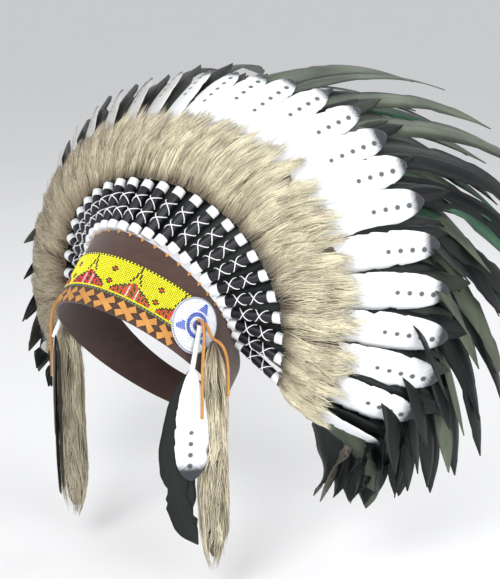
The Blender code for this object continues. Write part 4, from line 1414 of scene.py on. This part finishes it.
hook = rosette_points(0, 0, ROSETTE_THICKNESS)
hook_normal = rosette_points(0, 0, 1) - rosette_points(0, 0, 0)
hook_normal = hook_normal / np.linalg.norm(hook_normal)
turns = np.radians(np.arange(0, 360, 18))
rosette_rim = rosette_points(
    ROSETTE_DIAMETER / 2 * np.cos(turns), ROSETTE_DIAMETER / 2 * np.sin(turns), ROSETTE_THICKNESS)[:, 0].max()
drop_across = np.array((math.cos(DROP_FACING), math.sin(DROP_FACING), 0))
drop_face = np.array((math.sin(DROP_FACING), -math.cos(DROP_FACING), 0))
knee = np.array((
    rosette_rim + DROP_QUILL_DIAMETER / 2 + GAP, hook[1] - DROP_FORWARD, hook[2] - DROP_QUILL_LENGTH))
drop_start = hook + hook_normal * (GAP + DROP_QUILL_DIAMETER / 2)
drop_way = (knee - drop_start) / np.linalg.norm(knee - drop_start)


def hanging_line(length, behind, bow, side):
    """Line of a feather that leaves the quill at the knee and hangs, bowed to the front."""
    shares = np.linspace(0, 1, 33)
    gone = np.clip(shares / 0.125, 0, 1)
    sway = np.interp(shares, (0, 0.2, 0.45, 0.7, 0.88, 1), (0, 0.07, 0.10, 0.08, 0.03, -0.04)) * bow
    root = -drop_way * DROP_QUILL_DIAMETER
    points = (knee + root * np.stack((1 - gone, 1 - gone, 0 * gone + 1), axis=1)
              - np.outer(shares, (0, 0, length))
              - np.outer(sway * length, drop_across)
              - np.outer(behind * gone, drop_face))
    headings = np.gradient(points, axis=0)
    return Line(points, headings, -drop_across, side)


white_drops = Flock()
dark_drops = Flock()
for side in (1, -1):
    line = hanging_line(DROP_WHITE_LENGTH, 0.0, 0.0, side)
    white_drops.add(*vane(
        line, 0.0, WHITE_OUTLINE, DROP_WHITE_WIDTH / 2, 0.0, 0.0, DROP_CAMBER, 44, 9, rng,
        (rng.random(), 4, 1.3), notch=0.10))
    for layer, bow in ((1, 1.0), (2, 0.6)):
        line = hanging_line(DROP_DARK_LENGTH * (1.0 if layer == 1 else 0.96), DROP_LAYER * layer, bow, side)
        dark_drops.add(*vane(
            line, 0.0, COQUE_OUTLINE, DROP_DARK_WIDTH / 2, 0.0, 0.0, DROP_CAMBER, 40, 7, rng,
            (rng.random(), 0.02 * layer, 0), notch=0.35))
whites = white_drops.piece("drop_feathers_white", white_feather)
seat(whites, ["drop_feathers_left", "drop_feathers_right"])
seat(dark_drops.piece("drop_feathers_dark", coque), [])

for hand, side in HANDS:
    stem = cylinder(DROP_QUILL_DIAMETER / 2, np.linalg.norm(knee - drop_start), 0.0, 16, TAPE_RIM)
    stem.name = f"drop_quill_{hand}"
    turn = Vector(drop_way).to_track_quat("Z", "Y").to_matrix()
    points = get_points(stem) @ np.array(turn).T + drop_start
    own = stem.data.attributes.new("own", "FLOAT_VECTOR", "POINT")
    own.data.foreach_set("vector", (get_points(stem) * 1000).ravel())
    set_points(stem, points * (side, 1, 1))
    if side < 0:
        stem.data.flip_normals()
    stem.data.shade_smooth()
    seat(stem, [], white_tape)

tail_top = np.array((
    rosette_rim + TAIL_DIAMETER / 2 * TAIL_NECK + GAP,
    knee[1] + drop_across[1] * DROP_WHITE_WIDTH / 2 + TAIL_DIAMETER / 2 + 2 * GAP,
    hook[2] - TAIL_DROP,
))


def tail_points(share, turn, out):
    """Places in a hanging tail, at a share of its length and a share of its girth."""
    girth = np.interp(share, (0, 0.03, 0.10, 0.30, 0.60, 0.82, 0.94, 1),
                      (0.25, 0.50, 0.68, 0.85, 1.0, 0.95, 0.62, 0.25)) * out
    drift = 0.003 * np.clip(share * 3, 0, 1) + 0.0018 * np.sin(share * 9.0)
    return tail_top + np.stack((
        girth * TAIL_HALVES[0] * np.cos(turn),
        girth * TAIL_HALVES[1] * np.sin(turn) + drift,
        -TAIL_LENGTH * TAIL_HAIR * share,
    ), axis=-1)


for hand, side in HANDS:
    flip = np.array((side, 1, 1))
    core = fresh(
        bpy.ops.mesh.primitive_uv_sphere_add, f"fur_tail_underfur_{hand}",
        segments=16, ring_count=14, radius=1)
    points = get_points(core)
    turn = np.arctan2(points[:, 1], points[:, 0])
    share = 0.02 + 0.46 * (1 - points[:, 2])
    out = 0.62 * np.clip(np.hypot(points[:, 0], points[:, 1]) * 2.2, 0, 1)
    set_points(core, tail_points(share, turn, out) * flip)
    if side < 0:
        core.data.flip_normals()
    core.data.shade_smooth()
    seat(core, [], shaded_underfur)
    wisp_root = rand.uniform(0, 0.76, TAIL_WISPS)
    wisp_turn = rand.uniform(-math.pi, math.pi, TAIL_WISPS)
    wisp_long = rand.uniform(0.16, 0.30, TAIL_WISPS)
    wisp_aim = wisp_turn + rand.normal(0, 0.35, TAIL_WISPS)
    wisp_darkening = rand.uniform(0, 1, TAIL_WISPS) ** 1.5
    wisp_sway = rand.normal(0, 0.25, TAIL_WISPS)
    each = np.repeat(np.arange(TAIL_WISPS), LOCKS_A_WISP)
    count = len(each)
    root_share = np.clip(wisp_root[each] + rand.normal(0, 0.02, count), 0, 0.9)
    end_share = root_share + wisp_long[each] + rand.normal(0, 0.02, count)
    end_share = np.minimum(end_share, rand.uniform(0.95, 1.0, count))
    root_turn = wisp_turn[each] + rand.normal(0, 0.32, count)
    end_turn = wisp_aim[each] + rand.normal(0, 0.16, count)
    share = from_root(root_share, end_share)
    turn = from_root(root_turn, end_turn) + wisp_sway[each][:, None] * arch
    out = np.interp(t, (0, 0.4, 1), (0.60, 1.0, 1.0)) * rand.uniform(0.8, 1.08, count)[:, None]
    centres = tail_points(share, turn, out) * flip
    normals = np.stack((np.cos(turn), np.sin(turn), 0 * turn), axis=-1) * flip
    tail = Flock()
    tail.add(*lay_locks(
        centres, normals, rand.uniform(*TAIL_LOCK_WIDTHS, count), rand.normal(0, LOCK_ROLL, count),
        rand.uniform(0, 1, count), wisp_darkening[each]))
    seat(tail.piece(f"fur_tail_locks_{hand}", pelt), [f"fur_tail_{hand}"])

bpy.data.objects.remove(bead)
